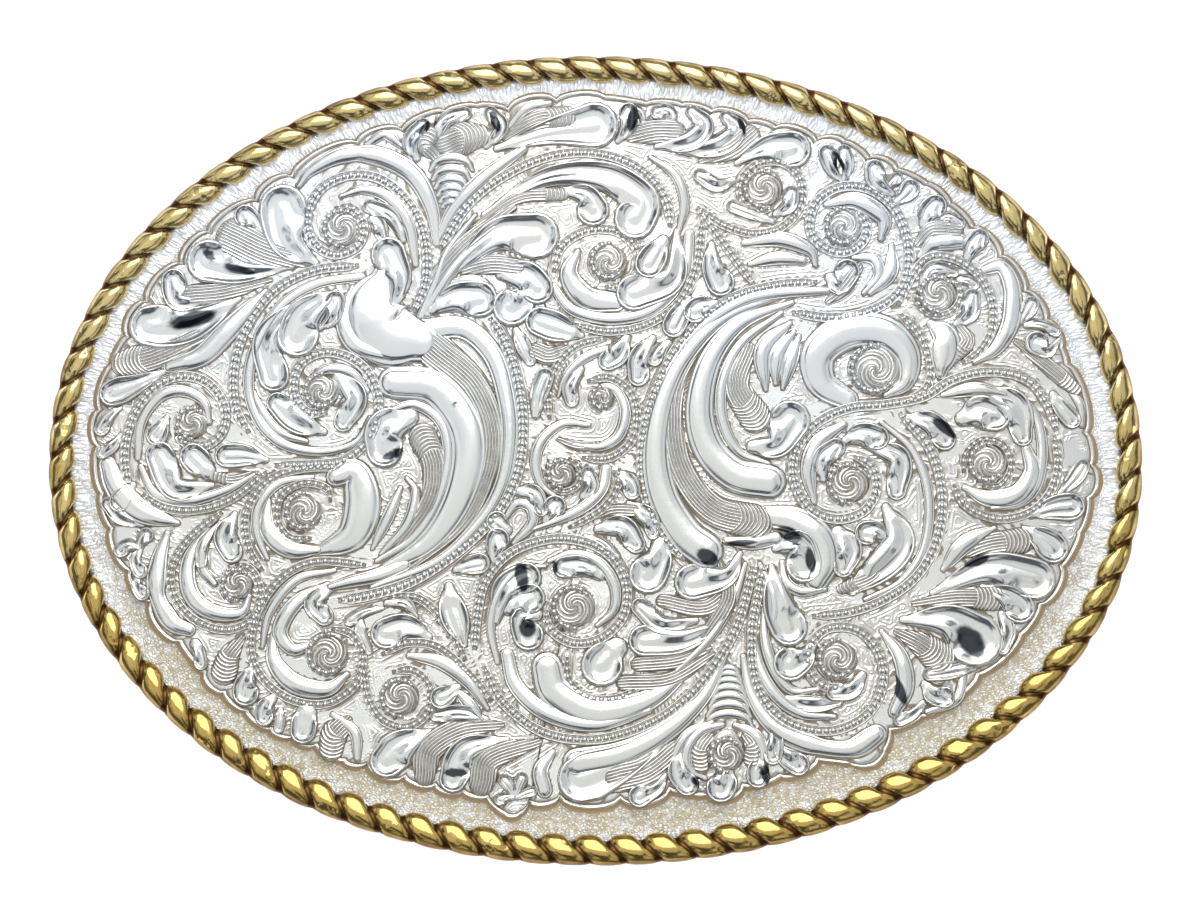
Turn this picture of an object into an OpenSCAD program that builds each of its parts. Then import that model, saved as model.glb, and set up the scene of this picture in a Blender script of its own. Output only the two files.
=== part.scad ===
// Oval western belt buckle, face up: a bent plate with raised scrollwork, a twisted rope edge,
// and on the back a wire belt loop and a hook post. Millimetres, +Y up as the face is read,
// +Z out of the face, and z = 0 the surface that the buckle lies on.

/* [Outline] */
// Width of the buckle over the rope edge
buckle_w = 104; // [96:0.5:112]
// Height of the buckle over the rope edge
buckle_h = 77; // [71:0.5:83]
// Squareness of the oval, where 2 is an ellipse
squareness = 2.04; // [2:0.01:2.2]

/* [Plate] */
// Radius that the plate is bent to, over the waist
bend_r = 320; // [280:10:400]
// Height of the ledge under the rope at the middle of the plate
ledge_z = 12.5; // [12:0.1:13.5]
// Thickness of the plate under the rope
ledge_t = 1; // [0.8:0.1:1.2]
// Height of the stippled ground over the ledge
ground_step = 0.9; // [0.7:0.1:1.1]
// Height of the scalloped medallion over the ledge
medallion_step = 1.5; // [1.3:0.1:1.7]
// Height of the raised scrollwork over the ledge
relief_step = 2.2; // [2:0.1:2.5]

/* [Rope edge] */
// Thickness of the rope
rope_d = 2.2; // [1.8:0.1:2.6]
// Strands seen round the whole rope
rope_bulges = 84; // [76:2:92]
// Gap between the rope and the plate
rope_gap = 0.05; // [0.03:0.01:0.1]

/* [Belt loop] */
// Thickness of the loop's wire
wire_d = 2.9; // [2.6:0.1:3.2]
// Length of the loop's bars between the middles of its arms
loop_w = 42; // [40:0.5:44]
// Place of the hinge barrel from the middle of the plate
hinge_x = 20; // [18:0.5:22]
// Place of the loop's outer bar from the middle of the plate
bar_x = 40; // [38:0.5:42]
// Radius of the loop's corners at the middle of the wire
corner_r = 3.5; // [3:0.5:5]
// Outer diameter of the hinge barrel
barrel_d = 5.2; // [4.8:0.1:5.6]
// Length of the hinge barrel
barrel_l = 14; // [10:1:18]
// Clearance round the wire in the barrel
hinge_gap = 0.08; // [0.05:0.01:0.1]

/* [Hook post] */
// Diameter of the post
post_d = 4.2; // [3.8:0.1:4.6]
// Place of the post from the middle of the plate
post_x = -29; // [-31:0.5:-27]
// Diameter of the collar that holds the post
collar_d = 9; // [8:0.5:11]
// Height of the collar under the plate's back
collar_h = 1.2; // [1:0.1:1.4]
// Diameter of the post's foot in the collar
foot_d = 3.2; // [2.8:0.1:3.4]
// Depth of the post's foot in the plate
foot_depth = 0.6; // [0.4:0.1:0.8]
// Gap round the post's foot
post_gap = 0.05; // [0.03:0.01:0.08]
// Radius of the round edge at the post's tip
tip_r = 0.8; // [0.5:0.1:1.2]

/* [Hidden] */

// Points on each stretch of an ornament's middle line, and on its round ends.
curve_steps = 2;
cap_steps = 3;
scallop_steps = 3;
outline_steps = 72;
eye_sides = 14;
rope_rings_per_bulge = 4;
rope_sides = 8;
round_fn = 64;
bend_fn = 1440;

rope_r = rope_d / 2;
half_w = buckle_w / 2;
half_h = buckle_h / 2;
ledge_inset = 0.4;
ground_inset = rope_d + rope_gap;
bend_z = ledge_z - bend_r;
barrel_z = back_z(hinge_x) - barrel_d / 2 + 0.5;
bar_z = wire_d / 2;
loop_slope = atan2(barrel_z - bar_z, bar_x - hinge_x);
loop_l = norm([bar_x - hinge_x, barrel_z - bar_z]);

// Edge of the medallion, clockwise from the left. Columns: notch x, notch y, and how far
// the lobe between this notch and the next bulges out.
SCALLOPS = [
  [-47.5, 1.2, 0.7], [-47.4, 4.7, 0.6], [-46.2, 9.0, 0.3], [-44.8, 11.7, 0.9],
  [-43.0, 15.1, 0.9], [-39.7, 18.7, 0.8], [-37.1, 21.7, 0.8], [-32.6, 24.7, 0.9],
  [-29.2, 27.0, 1.0], [-23.0, 30.3, 0.8], [-18.7, 31.5, 0.6], [-14.6, 33.3, 0.3],
  [-11.6, 33.9, 0.3], [-8.6, 33.5, 0.9], [-4.0, 34.4, 0.6], [0.6, 34.8, 0.1],
  [4.6, 34.2, 0.3], [8.0, 34.1, 0.3], [10.8, 33.5, 0.6], [14.3, 32.6, 0.3],
  [16.9, 32.0, 0.7], [20.8, 30.8, 0.5], [23.5, 30.8, 0.3], [25.8, 29.2, 0.6],
  [28.5, 28.2, 0.2], [31.4, 26.9, 0.4], [33.6, 25.0, 0.3], [35.8, 22.8, 0.7],
  [38.5, 20.1, 0.7], [40.9, 16.8, 0.6], [42.9, 14.1, 0.5], [44.4, 11.4, 0.1],
  [44.9, 9.9, 0.9], [46.8, 3.3, 0.4], [47.3, 0.3, 0.8], [47.1, -2.9, 0.3],
  [46.3, -6.2, 0.3], [44.6, -9.5, 0.8], [42.6, -13.2, 0.3], [40.8, -16.1, 0.2],
  [39.3, -18.3, 0.2], [36.8, -20.0, 0.7], [31.3, -24.1, 0.3], [28.4, -25.4, 0.1],
  [27.8, -28.1, 0.0], [26.0, -30.2, 0.1], [21.6, -28.4, 0.6], [18.0, -30.0, 0.3],
  [14.5, -31.0, 0.9], [10.9, -31.9, 0.2], [7.5, -31.4, 1.0], [2.8, -32.3, 1.0],
  [-3.0, -32.2, 0.6], [-5.9, -32.7, 0.0], [-6.6, -34.7, 0.1], [-8.0, -34.7, 0.1],
  [-9.9, -32.3, 0.3], [-12.2, -31.8, 0.5], [-14.9, -31.2, 0.5], [-17.8, -30.4, 0.9],
  [-21.3, -29.0, 0.5], [-23.6, -28.9, 0.3], [-26.3, -27.4, 0.5], [-28.5, -26.6, 0.4],
  [-30.6, -25.9, 0.4], [-33.0, -24.1, 0.4], [-35.1, -22.4, 0.6], [-37.0, -20.5, 0.2],
  [-39.4, -17.5, 1.0], [-42.2, -13.7, 0.7], [-44.3, -10.7, 0.7], [-46.1, -6.7, 0.4],
  [-47.1, -3.3, 0.5]
];

// Spiral eyes. Columns: x, y, radius.
EYES = [
  [-24.2, 22.0, 1.9], [1.2, 18.8, 1.8], [15.8, 26.1, 1.9], [23.5, 22.4, 1.8],
  [32.5, 16.3, 1.8], [-26.0, 6.3, 1.7], [-38.3, 3.4, 1.6], [-27.6, -5.2, 1.8],
  [-33.8, -12.0, 1.6], [-25.1, -18.8, 2.0], [-18.2, -22.7, 1.9], [0.7, 5.8, 1.1],
  [-3.1, -1.3, 1.4], [26.6, 8.8, 2.4], [24.2, -1.9, 2.0], [37.4, 0.1, 1.9],
  [-1.8, -14.0, 2.1], [23.3, -18.8, 1.9], [12.9, -27.9, 1.7]
];

// Beaded bands. Columns: width, points of the middle line.
BANDS = [
  [1.0, [[-10.2, 13.6], [-7.5, 8], [-6.9, 1], [-8.9, -4.8], [-14.4, -10], [-22.4, -13.5]]],
  [0.9, [[-17.4, 13.8], [-16.4, 21], [-20.4, 26.5], [-26.2, 25.8], [-27, 20.6], [-22.8, 20.2],
        [-25.2, 23.8]]],
  [0.9, [[-22.4, 18.4], [-30.6, 16], [-34.4, 8.6], [-32.8, 2.2]]],
  [0.9, [[-44.3, -3], [-44, 4], [-39.6, 7.8], [-35.3, 5], [-37, 1.2], [-40, 3.2]]],
  [0.9, [[-30.6, -0.7], [-23.6, -0.1], [-20.6, 5.6], [-25.4, 10.1], [-28.7, 6.4], [-25.2, 4.4]]],
  [0.8, [[-31, -1.2], [-34.6, -4], [-38, -5], [-43.2, -3.3]]],
  [0.8, [[-35.2, -5], [-40.2, -10.8], [-37.6, -15.6], [-32.4, -15.4], [-32.4, -10.8], [-34.2, -10]]],
  [0.8, [[-23.6, -0.9], [-31, -2.2], [-32.8, -8.6], [-31.3, -10.9]]],
  [0.8, [[-21.4, -10.2], [-29.8, -11.6], [-32.5, -18.2], [-28.6, -23], [-22.5, -21.6],
        [-22.8, -16.8], [-25, -16.2]]],
  [0.8, [[-25, -4.4], [-27.6, -2.4], [-30.1, -5.8], [-26.6, -7.6]]],
  [0.8, [[-21.7, -19.8], [-20, -24.8], [-15.6, -24.2], [-17, -20.2], [-19.2, -20.4]]],
  [0.8, [[-19.6, -13.2], [-16.4, -13.4], [-13.8, -16], [-11.9, -19.4]]],
  [0.8, [[-20.2, -18.8], [-14.6, -18], [-9.4, -23.2]]],
  [0.9, [[-11.2, -18.4], [-10.2, -11.6], [-4, -7.6], [2, -9.6], [2.8, -15], [-1.8, -17.5], [-4.5, -14.2]]],
  [0.9, [[14.6, -12.4], [9.4, -22.2], [0.5, -26.6], [-8.6, -23], [-10.4, -19.6]]],
  [0.8, [[-2.4, -18.6], [-0.4, -22.6], [4.8, -21.6]]],
  [0.9, [[15.2, -12], [14.9, -20.4], [20, -25.3], [26.4, -23.6], [27, -17.8], [22.4, -15.8],
        [20.6, -19.8], [24.4, -21.2]]],
  [0.9, [[21.2, 17.2], [13, 15.6], [7.6, 10.6], [4.9, 4], [4.9, -3.6], [8.8, -9.6]]],
  [0.9, [[-15, 19.8], [-8.5, 27.2], [0.5, 29.1], [6.5, 24.8], [7, 22]]],
  [0.8, [[10, 23], [7.8, 15], [1.2, 12.2], [-2.2, 12.9]]],
  [0.9, [[-4.1, 17.6], [-1, 21.8], [3.7, 20.3], [2.6, 16.7], [0.6, 16.4]]],
  [0.8, [[15.2, 16.6], [9.4, 24.2]]],
  [0.8, [[9.3, 24.3], [14.8, 21.7], [19.3, 24.5], [17.6, 28.5], [13.8, 27], [15.2, 24], [17, 24.2]]],
  [0.9, [[18.4, 14.3], [26, 14.5], [29.6, 18.8], [28, 24.6], [22.8, 26.2], [20.2, 22.2],
        [23.4, 20], [25.6, 22.8], [24.4, 24.2]]],
  [0.8, [[28.6, 14.9], [31.6, 19.7], [36.4, 18], [37.6, 13], [34.6, 9.6]]],
  [0.8, [[30.7, 17.2], [32, 14.2], [34.7, 16.2], [34, 17.9]]],
  [0.8, [[28.8, 14.4], [31.8, 9.6], [29, 5.7]]],
  [0.9, [[43.9, 3.2], [41, 8.2], [34, 8.1], [24.2, 5.2], [19.2, 1.4], [20.4, -4.4], [25.6, -4.6],
        [26.2, -0.2], [24.4, 0.6]]],
  [0.9, [[28.8, 5], [32.8, -1.4], [32.2, -8.2], [27.6, -13], [20.6, -14.7]]],
  [0.8, [[43.6, 3.2], [43.2, -2.6], [38.2, -5.1], [34, -1.8]]],
  [0.8, [[35, -1], [36.8, 2.4], [39.6, 0], [36.6, -2]]],
  [0.8, [[-4.3, 3.6], [-3.7, 8.8], [1.2, 11.6]]],
  [0.8, [[-1, 7.4], [3.5, 6.2], [3.2, 1.4], [-1.4, 0.2]]]
];

// Broad smooth strands. Columns: width at the start, middle and end, points of the middle line.
STRANDS = [
  [0.6, 1.6, 0.5, [[-15.2, 20.5], [-20.8, 28.8], [-28.4, 26]]],
  [0.4, 1.8, 0.9, [[-31.5, 15.9], [-37.6, 9.7], [-40.6, 8.7]]],
  [1.3, 2.0, 0.4, [[-46.4, -0.6], [-43, -5.2], [-39.6, -6.2]]],
  [0.5, 1.7, 1.0, [[-40.6, -7.2], [-41.5, -13], [-38.4, -16.4]]],
  [0.4, 1.6, 0.5, [[-30.4, -16.8], [-28.2, -21.5], [-23.3, -20.6]]],
  [0.5, 1.6, 2.2, [[12.6, -18.4], [7.2, -25.7], [-1.4, -28.8]]],
  [0.5, 1.5, 1.8, [[14.3, -18.6], [17.5, -25.4], [27, -25.8]]],
  [0.4, 1.4, 1.0, [[27.4, -16], [29.7, -21.2], [28.7, -23.6]]],
  [0.4, 1.5, 0.4, [[33.2, -10], [35.1, -7.7], [38, -6]]],
  [0.7, 1.5, 0.4, [[36.9, 18.6], [39.5, 16.9], [36, 9.8]]],
  [1.8, 1.2, 0.5, [[-16.4, 12.2], [-9.8, 9.9], [-8.8, -2.4], [-21, -12.3]]],
  [0.5, 1.5, 0.7, [[-23.2, 16.2], [-24, 13.4], [-19.4, 9.6]]],
  [0.4, 2.6, 2.4, [[-20.6, -10.8], [-13.2, -4.4], [-12.7, 3.8], [-19.2, 7.2]]],
  [0.5, 2.8, 1.4, [[-26.4, -9], [-22, -4.2], [-24.6, -1.8]]],
  [0.4, 1.8, 2.8, [[17.5, 15.8], [8.7, 10.2], [5.8, 1], [10.6, -8.6]]],
  [0.4, 2.0, 2.6, [[18.6, 15.2], [10.9, 9.6], [10.8, 1.2], [16.6, -1.9]]],
  [0.5, 1.8, 1.6, [[15.8, -4.4], [21.3, -7], [21.7, -11]]],
  [0.4, 1.4, 0.6, [[20.9, -3.8], [20.3, -0.8], [23.6, 3.6]]],
  [1.6, 2.8, 0.5, [[24, 6], [21.2, 10.4], [27.4, 12.5], [27.6, 6.5]]],
  [0.5, 1.7, 0.8, [[35.2, -2.2], [40.2, -2.8], [41, 1.6]]],
  [0.5, 1.5, 0.5, [[21.8, 24.6], [24.6, 25], [27, 21.4]]],
  [0.4, 2.6, 0.6, [[31.8, 13.4], [33.1, 12], [32.8, 8.6]]],
  [1.4, 1.8, 0.5, [[1.9, 15], [-2.6, 17.6], [-1.8, 19.8]]],
  [0.4, 2.2, 2.4, [[9.4, -19.8], [0.4, -24], [-4.3, -19.8]]]
];

// Scooped lobes and leaves. Columns: width at the tail, middle and head, points from tail to head.
LOBES = [
  [0.6, 2.6, 4.0, [[-26.8, 18.6], [-29.4, 20.6], [-29.9, 23.8]]],
  [0.3, 1.6, 3.4, [[-29, 18.2], [-33.8, 17.8], [-37, 18.8]]],
  [0.4, 2.4, 3.6, [[-34, 15.2], [-38.6, 12.7], [-42.5, 12.6]]],
  [0.4, 1.4, 2.6, [[-41, 8.3], [-43.8, 7], [-46, 6.2]]],
  [0.4, 2.0, 2.2, [[-36.4, -2.6], [-39.8, -2.9], [-41.4, 0.2]]],
  [0.4, 1.4, 2.5, [[-32.3, -19.8], [-32.9, -21.4], [-32.9, -22.4]]],
  [1.4, 2.4, 2.6, [[-27.1, -24.3], [-27.3, -25.2], [-27.4, -26]]],
  [0.4, 2.4, 3.4, [[-15.4, -26], [-17.8, -27.3], [-19.4, -28.8]]],
  [0.4, 1.9, 2.7, [[-8, -26.7], [-11.8, -27.7], [-13.1, -30.5]]],
  [0.8, 2.6, 4.2, [[7.6, -25.9], [3.2, -28.6], [-0.9, -30.4]]],
  [1.0, 2.6, 3.0, [[12.7, -29.6], [12.6, -30.4], [12.3, -31.1]]],
  [0.5, 1.5, 2.4, [[17.4, -26.8], [18.4, -28], [19.6, -28.8]]],
  [0.5, 1.9, 3.6, [[29.4, -14.9], [33.6, -14.9], [36.3, -16.7]]],
  [0.4, 1.6, 2.8, [[36.9, -11.6], [39.2, -12.5], [40.5, -13.6]]],
  [0.4, 1.7, 2.8, [[32.2, -12.3], [37.4, -9.9], [41.9, -10.8]]],
  [0.6, 1.8, 2.8, [[40.9, -6.1], [42.3, -6.8], [43.6, -7.8]]],
  [0.8, 1.8, 2.2, [[31.2, 22.9], [31.5, 23.9], [32.1, 24.6]]],
  [0.4, 1.8, 3.6, [[13.2, 28.4], [16, 29.8], [18.5, 29.8]]],
  [0.6, 1.8, 3.6, [[-9.6, 29.6], [-4.6, 31.2], [-0.3, 31.9]]],
  [0.4, 2.1, 3.6, [[-13.6, 17.7], [-9.6, 21.3], [-5.8, 21.3]]],
  [0.4, 1.8, 3.2, [[-10.8, 23.3], [0.6, 27], [3.6, 23]]],
  [0.8, 2.4, 2.8, [[-15.6, 14.2], [-13.4, 15.3], [-11.1, 15.2]]],
  [1.6, 2.6, 3.0, [[-5.6, 16.3], [-6.6, 15.6], [-8, 14.5]]],
  [1.4, 3.0, 2.6, [[-20.6, 17], [-21.6, 13.8], [-18.8, 11.5]]],
  [1.2, 3.0, 2.6, [[-17.6, 3.9], [-19.8, 2.8], [-20, 0.8]]],
  [0.4, 1.8, 2.4, [[-27.8, 15.2], [-31.3, 11.6], [-30.6, 7.8]]],
  [0.5, 2.4, 3.2, [[-24.8, 15.8], [-27.6, 13.7], [-28.4, 11.6]]],
  [1.0, 2.2, 3.2, [[15, 1.4], [17.2, 1.6], [18.5, 3.9]]],
  [0.5, 2.2, 2.8, [[17.3, -8.3], [19.4, -7.8], [20, -9.8]]],
  [0.6, 2.6, 0.6, [[27.7, -4.2], [28.9, -7.8], [24.6, -12.2]]],
  [0.4, 1.8, 2.8, [[13.9, -8.8], [12.6, -11], [9.4, -11.6]]],
  [1.2, 2.4, 3.0, [[6.3, -8], [6.1, -9.4], [5.2, -10.9]]],
  [1.4, 2.8, 3.2, [[2.3, -17.9], [1.6, -18.6], [0.9, -19.6]]],
  [0.4, 2.2, 2.8, [[16.9, -10], [17.6, -13.6], [18.6, -15.8]]],
  [0.5, 2.0, 2.8, [[7.6, 21.8], [7.2, 17.4], [3.6, 15.9]]],
  [1.0, 2.6, 2.2, [[34.9, 4.4], [36.4, 5], [38, 4.7]]],
  [0.6, 2.0, 2.4, [[-15.6, -17], [-17.6, -16.1], [-19.6, -16.7]]],
  [0.4, 2.2, 3.4, [[-27.5, 18.5], [-31.4, 19.6], [-34.2, 20.9]]],
  [0.4, 1.5, 2.6, [[-34, 13.6], [-41, 10.2], [-44.9, 9]]],
  [0.6, 2.2, 2.4, [[-23.2, -25], [-24.4, -26.3], [-24.7, -27.7]]],
  [0.5, 1.8, 2.4, [[-5, -26.9], [-9.6, -28.5], [-10.4, -30.9]]],
  [0.6, 2.2, 2.3, [[8.4, -26.8], [5.4, -29.3], [2.6, -30.2]]],
  [0.4, 1.8, 2.5, [[28.8, -16], [31.2, -17.2], [33, -18.6]]],
  [1.4, 2.6, 1.6, [[-14.4, 30], [-12.8, 30.6], [-11.3, 30.8]]],
  [0.4, 1.2, 2.8, [[-18, -10.9], [-10.2, -2], [-11.5, 7], [-15.3, 10.3]]],
  [0.4, 1.5, 2.2, [[-18.8, -8.6], [-15.2, -0.8], [-16.3, 2]]],
  [0.5, 1.6, 2.6, [[10.6, 12.4], [7.5, 3.2], [11.2, -4.6], [15.4, -5.8]]],
  [0.8, 1.9, 2.4, [[14.6, 10.8], [13.5, 7.2], [15.2, 4.2]]]
];

// Height of the plate's back at a distance x from the middle
function back_z(x) = bend_z + sqrt(pow(bend_r - ledge_t, 2) - x * x);

// Point of the oval at an angle, with the oval's edge moved in by inset
function oval_point(angle, inset) = [
  (half_w - inset) * sign(cos(angle)) * pow(abs(cos(angle)), 2 / squareness),
  (half_h - inset) * sign(sin(angle)) * pow(abs(sin(angle)), 2 / squareness)
];

function oval(inset) = [
  for (i = [0:outline_steps - 1]) oval_point(360 * i / outline_steps, inset)
];

// Smooth curve through a list of points: the stretch from point i, at t from 0 to 1
function before(points, i) = i == 0 ? 2 * points[0] - points[1] : points[i - 1];
function after(points, i) = i + 2 == len(points) ? 2 * points[i + 1] - points[i] : points[i + 2];
function curve_point(points, i, t) =
  let (a = before(points, i), b = points[i], c = points[i + 1], d = after(points, i))
  0.5 * (2 * b + (c - a) * t + (2 * a - 5 * b + 4 * c - d) * t * t
         + (3 * b - a - 3 * c + d) * t * t * t);

function curve(points) = [
  for (i = [0:len(points) - 2], k = [0:curve_steps - 1]) curve_point(points, i, k / curve_steps),
  points[len(points) - 1]
];

// Width that runs smoothly through its values at the start, middle and end
function width_at(w, t) =
  w[0] * (2 * t - 1) * (t - 1) + w[1] * 4 * t * (1 - t) + w[2] * t * (2 * t - 1);

function direction(line, i) =
  let (a = line[max(i - 1, 0)], b = line[min(i + 1, len(line) - 1)])
  (b - a) / norm(b - a);
function left_of(v) = [-v[1], v[0]];

// Outline of a stroke of changing width round its middle line, with round ends
function stroke_outline(line, w) =
  let (
    last = len(line) - 1,
    half = [for (i = [0:last]) max(0.15, width_at(w, i / last)) / 2],
    out = [for (i = [0:last]) left_of(direction(line, i))],
    head = direction(line, last),
    tail = -direction(line, 0)
  )
  concat(
    [for (i = [0:last]) line[i] + out[i] * half[i]],
    [for (k = [1:cap_steps - 1]) let (a = 180 * k / cap_steps)
      line[last] + (out[last] * cos(a) + head * sin(a)) * half[last]],
    [for (i = [last:-1:0]) line[i] - out[i] * half[i]],
    [for (k = [1:cap_steps - 1]) let (a = 180 * k / cap_steps)
      line[0] + (tail * sin(a) - out[0] * cos(a)) * half[0]]
  );

// Edge of the medallion: from each notch, a lobe that bulges out to the next notch
function lobe_edge(from, to, bulge) =
  let (across = to - from, out = left_of(across) / norm(across))
  [for (k = [0:scallop_steps - 1]) let (t = k / scallop_steps)
    from + across * t + out * bulge * sqrt(1 - pow(2 * t - 1, 2))];

function medallion_edge() = [
  for (i = [0:len(SCALLOPS) - 1])
    let (a = SCALLOPS[i], b = SCALLOPS[(i + 1) % len(SCALLOPS)])
    each lobe_edge([a[0], a[1]], [b[0], b[1]], a[2])
];

module stroke(points, w) {
  polygon(stroke_outline(curve(points), w));
}

module scrollwork() {
  for (row = BANDS) stroke(row[1], [row[0], row[0], row[0]]);
  for (row = STRANDS) stroke(row[3], [row[0], row[1], row[2]]);
  for (row = LOBES) stroke(row[3], [row[0], row[1], row[2]]);
  for (row = EYES) translate([row[0], row[1]]) circle(r = row[2], $fn = eye_sides);
}

// Long cylinder of the plate's bend, raised over the ledge by step
module bend(step) {
  translate([0, buckle_h, bend_z])
    rotate([90, 0, 0])
      cylinder(r = bend_r + step, h = 2 * buckle_h, $fn = bend_fn);
}

// Bent sheet from one height over the ledge to another, over and under a flat shape
module bent(from, to) {
  intersection() {
    difference() {
      bend(to);
      bend(from);
    }
    linear_extrude(height = ledge_z + relief_step + 1) children();
  }
}

module hinge_barrel() {
  translate([hinge_x, barrel_l / 2, barrel_z])
    rotate([90, 0, 0])
      cylinder(d = barrel_d, h = barrel_l, $fn = round_fn);
}

module hinge_bore() {
  translate([hinge_x, barrel_l, barrel_z])
    rotate([90, 0, 0])
      cylinder(d = wire_d + 2 * hinge_gap, h = 2 * barrel_l, $fn = round_fn);
}

module post_collar() {
  translate([post_x, 0, back_z(post_x) - collar_h])
    cylinder(d = collar_d, h = collar_h + 0.6, $fn = round_fn);
}

module post_socket() {
  translate([post_x, 0, 0])
    cylinder(d = foot_d + 2 * post_gap, h = back_z(post_x) + foot_depth + post_gap, $fn = round_fn);
}

// Plate with its fittings, before the medallion and the ornament are raised on it
module plain_plate() {
  difference() {
    union() {
      bent(-ledge_t, 0) polygon(oval(ledge_inset));
      bent(-ledge_t, ground_step) polygon(oval(ground_inset));
      hinge_barrel();
      post_collar();
    }
    hinge_bore();
    post_socket();
  }
}

module face_plate() {
  color([0.80, 0.80, 0.78])
    union() {
      plain_plate();
      bent(ground_step / 2, medallion_step) polygon(medallion_edge());
      bent(medallion_step / 2, relief_step) offset(delta = 0) scrollwork();
    }
}

// Middle line of the rope, lying on the bent ledge, and the way it is bent there
function rope_point(i, rings) =
  let (p = oval_point(360 * i / rings, rope_r), r = bend_r + rope_gap + rope_r)
  [p[0], p[1], bend_z + sqrt(r * r - p[0] * p[0])];

// Ring of a two-strand rope: an oval section that turns half round on each bulge
function rope_ring(i, rings) =
  let (
    here = rope_point(i, rings),
    along = rope_point(i + 1, rings) - rope_point(i - 1, rings),
    ahead = along / norm(along),
    side = cross(ahead, [0, 0, 1]) / norm(cross(ahead, [0, 0, 1])),
    up = cross(side, ahead),
    turn = 180 * rope_bulges * i / rings
  )
  [for (k = [0:rope_sides - 1]) let (a = 360 * k / rope_sides)
    here + (side * cos(a) + up * sin(a)) * rope_r * (0.86 + 0.14 * cos(2 * (a + turn)))];

module rope_edge() {
  rings = rope_bulges * rope_rings_per_bulge;
  points = [for (i = [0:rings - 1]) each rope_ring(i, rings)];
  faces = [
    for (i = [0:rings - 1], k = [0:rope_sides - 1])
      let (
        j = (i + 1) % rings,
        m = (k + 1) % rope_sides,
        a = i * rope_sides + k,
        b = i * rope_sides + m,
        c = j * rope_sides + m,
        d = j * rope_sides + k
      )
      each [[a, b, c], [a, c, d]]
  ];
  color([0.78, 0.60, 0.22])
    polyhedron(points, faces);
}

module wire(length) {
  cylinder(d = wire_d, h = length, $fn = round_fn);
}

// Quarter bend of wire that starts at the origin along +X and turns towards +Y
module wire_corner() {
  translate([0, corner_r, 0])
    rotate([0, 0, -90])
      rotate_extrude(angle = 90, $fn = round_fn)
        translate([corner_r, 0])
          circle(d = wire_d, $fn = round_fn);
}

// Flat loop with one bar on the Y axis and the other at x = loop_l
module flat_loop() {
  half = loop_w / 2;
  for (x = [0, loop_l])
    translate([x, corner_r - half, 0])
      rotate([-90, 0, 0]) wire(loop_w - 2 * corner_r);
  for (side = [-1, 1])
    translate([corner_r, side * half, 0])
      rotate([0, 90, 0]) wire(loop_l - 2 * corner_r);
  translate([loop_l - corner_r, -half, 0]) wire_corner();
  translate([loop_l, half - corner_r, 0]) rotate([0, 0, 90]) wire_corner();
  translate([corner_r, half, 0]) rotate([0, 0, 180]) wire_corner();
  translate([0, corner_r - half, 0]) rotate([0, 0, 270]) wire_corner();
}

module belt_loop() {
  color([0.72, 0.72, 0.70])
    translate([hinge_x, 0, barrel_z])
      rotate([0, loop_slope, 0])
        flat_loop();
}

module hook_post() {
  r = post_d / 2;
  shoulder = back_z(post_x) - collar_h - post_gap;
  color([0.72, 0.72, 0.70])
    translate([post_x, 0, 0])
      rotate_extrude($fn = round_fn) {
        polygon([[0, 0], [r - tip_r, 0], [r - tip_r, tip_r], [r, tip_r], [r, shoulder],
        [foot_d / 2, shoulder],
                 [foot_d / 2, back_z(post_x) + foot_depth], [0, back_z(post_x) + foot_depth]]);
        intersection() {
          translate([r - tip_r, tip_r]) circle(r = tip_r, $fn = round_fn);
          square([r, tip_r]);
        }
      }
}

face_plate();
rope_edge();
belt_loop();
hook_post();
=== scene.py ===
import math

import bmesh
import bpy
import numpy as np
from mathutils import Matrix, Vector
from mathutils.kdtree import KDTree


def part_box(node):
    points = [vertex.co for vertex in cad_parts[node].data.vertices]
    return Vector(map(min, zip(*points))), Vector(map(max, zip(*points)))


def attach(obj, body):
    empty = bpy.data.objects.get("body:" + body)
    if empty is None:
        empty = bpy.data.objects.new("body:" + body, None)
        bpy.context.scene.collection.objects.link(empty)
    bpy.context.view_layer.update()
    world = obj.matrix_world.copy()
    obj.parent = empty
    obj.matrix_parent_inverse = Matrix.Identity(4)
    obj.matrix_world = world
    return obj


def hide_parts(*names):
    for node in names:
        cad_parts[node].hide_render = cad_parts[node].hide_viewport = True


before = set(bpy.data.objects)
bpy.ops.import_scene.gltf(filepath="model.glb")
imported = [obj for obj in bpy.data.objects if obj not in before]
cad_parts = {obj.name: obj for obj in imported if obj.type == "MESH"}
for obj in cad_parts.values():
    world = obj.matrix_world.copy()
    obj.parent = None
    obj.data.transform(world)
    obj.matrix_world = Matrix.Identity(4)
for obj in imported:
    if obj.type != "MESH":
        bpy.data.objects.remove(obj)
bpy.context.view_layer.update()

# An oval western belt buckle, face up: a bent plate with raised scrollwork in bright silver,
# a twisted gold rope round it, and a plain back with a wire loop and a hook post.
# Blender's unit is the metre. Tables of the ornament are in millimetres, read off the face.

bl_info = {
    "name": "Western belt buckle",
    "version": (1, 0, 0),
    "blender": (4, 5, 0),
    "location": "View3D > Sidebar > Buckle",
    "description": "Builds the scrollwork, rope edge, back and stage of an oval western belt buckle",
    "category": "Add Mesh",
}

MM = 0.001
ROPE_LOW, ROPE_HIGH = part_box("rope_edge")
LOOP_LOW, LOOP_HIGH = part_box("belt_loop")
POST_LOW, POST_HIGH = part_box("hook_post")

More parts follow.
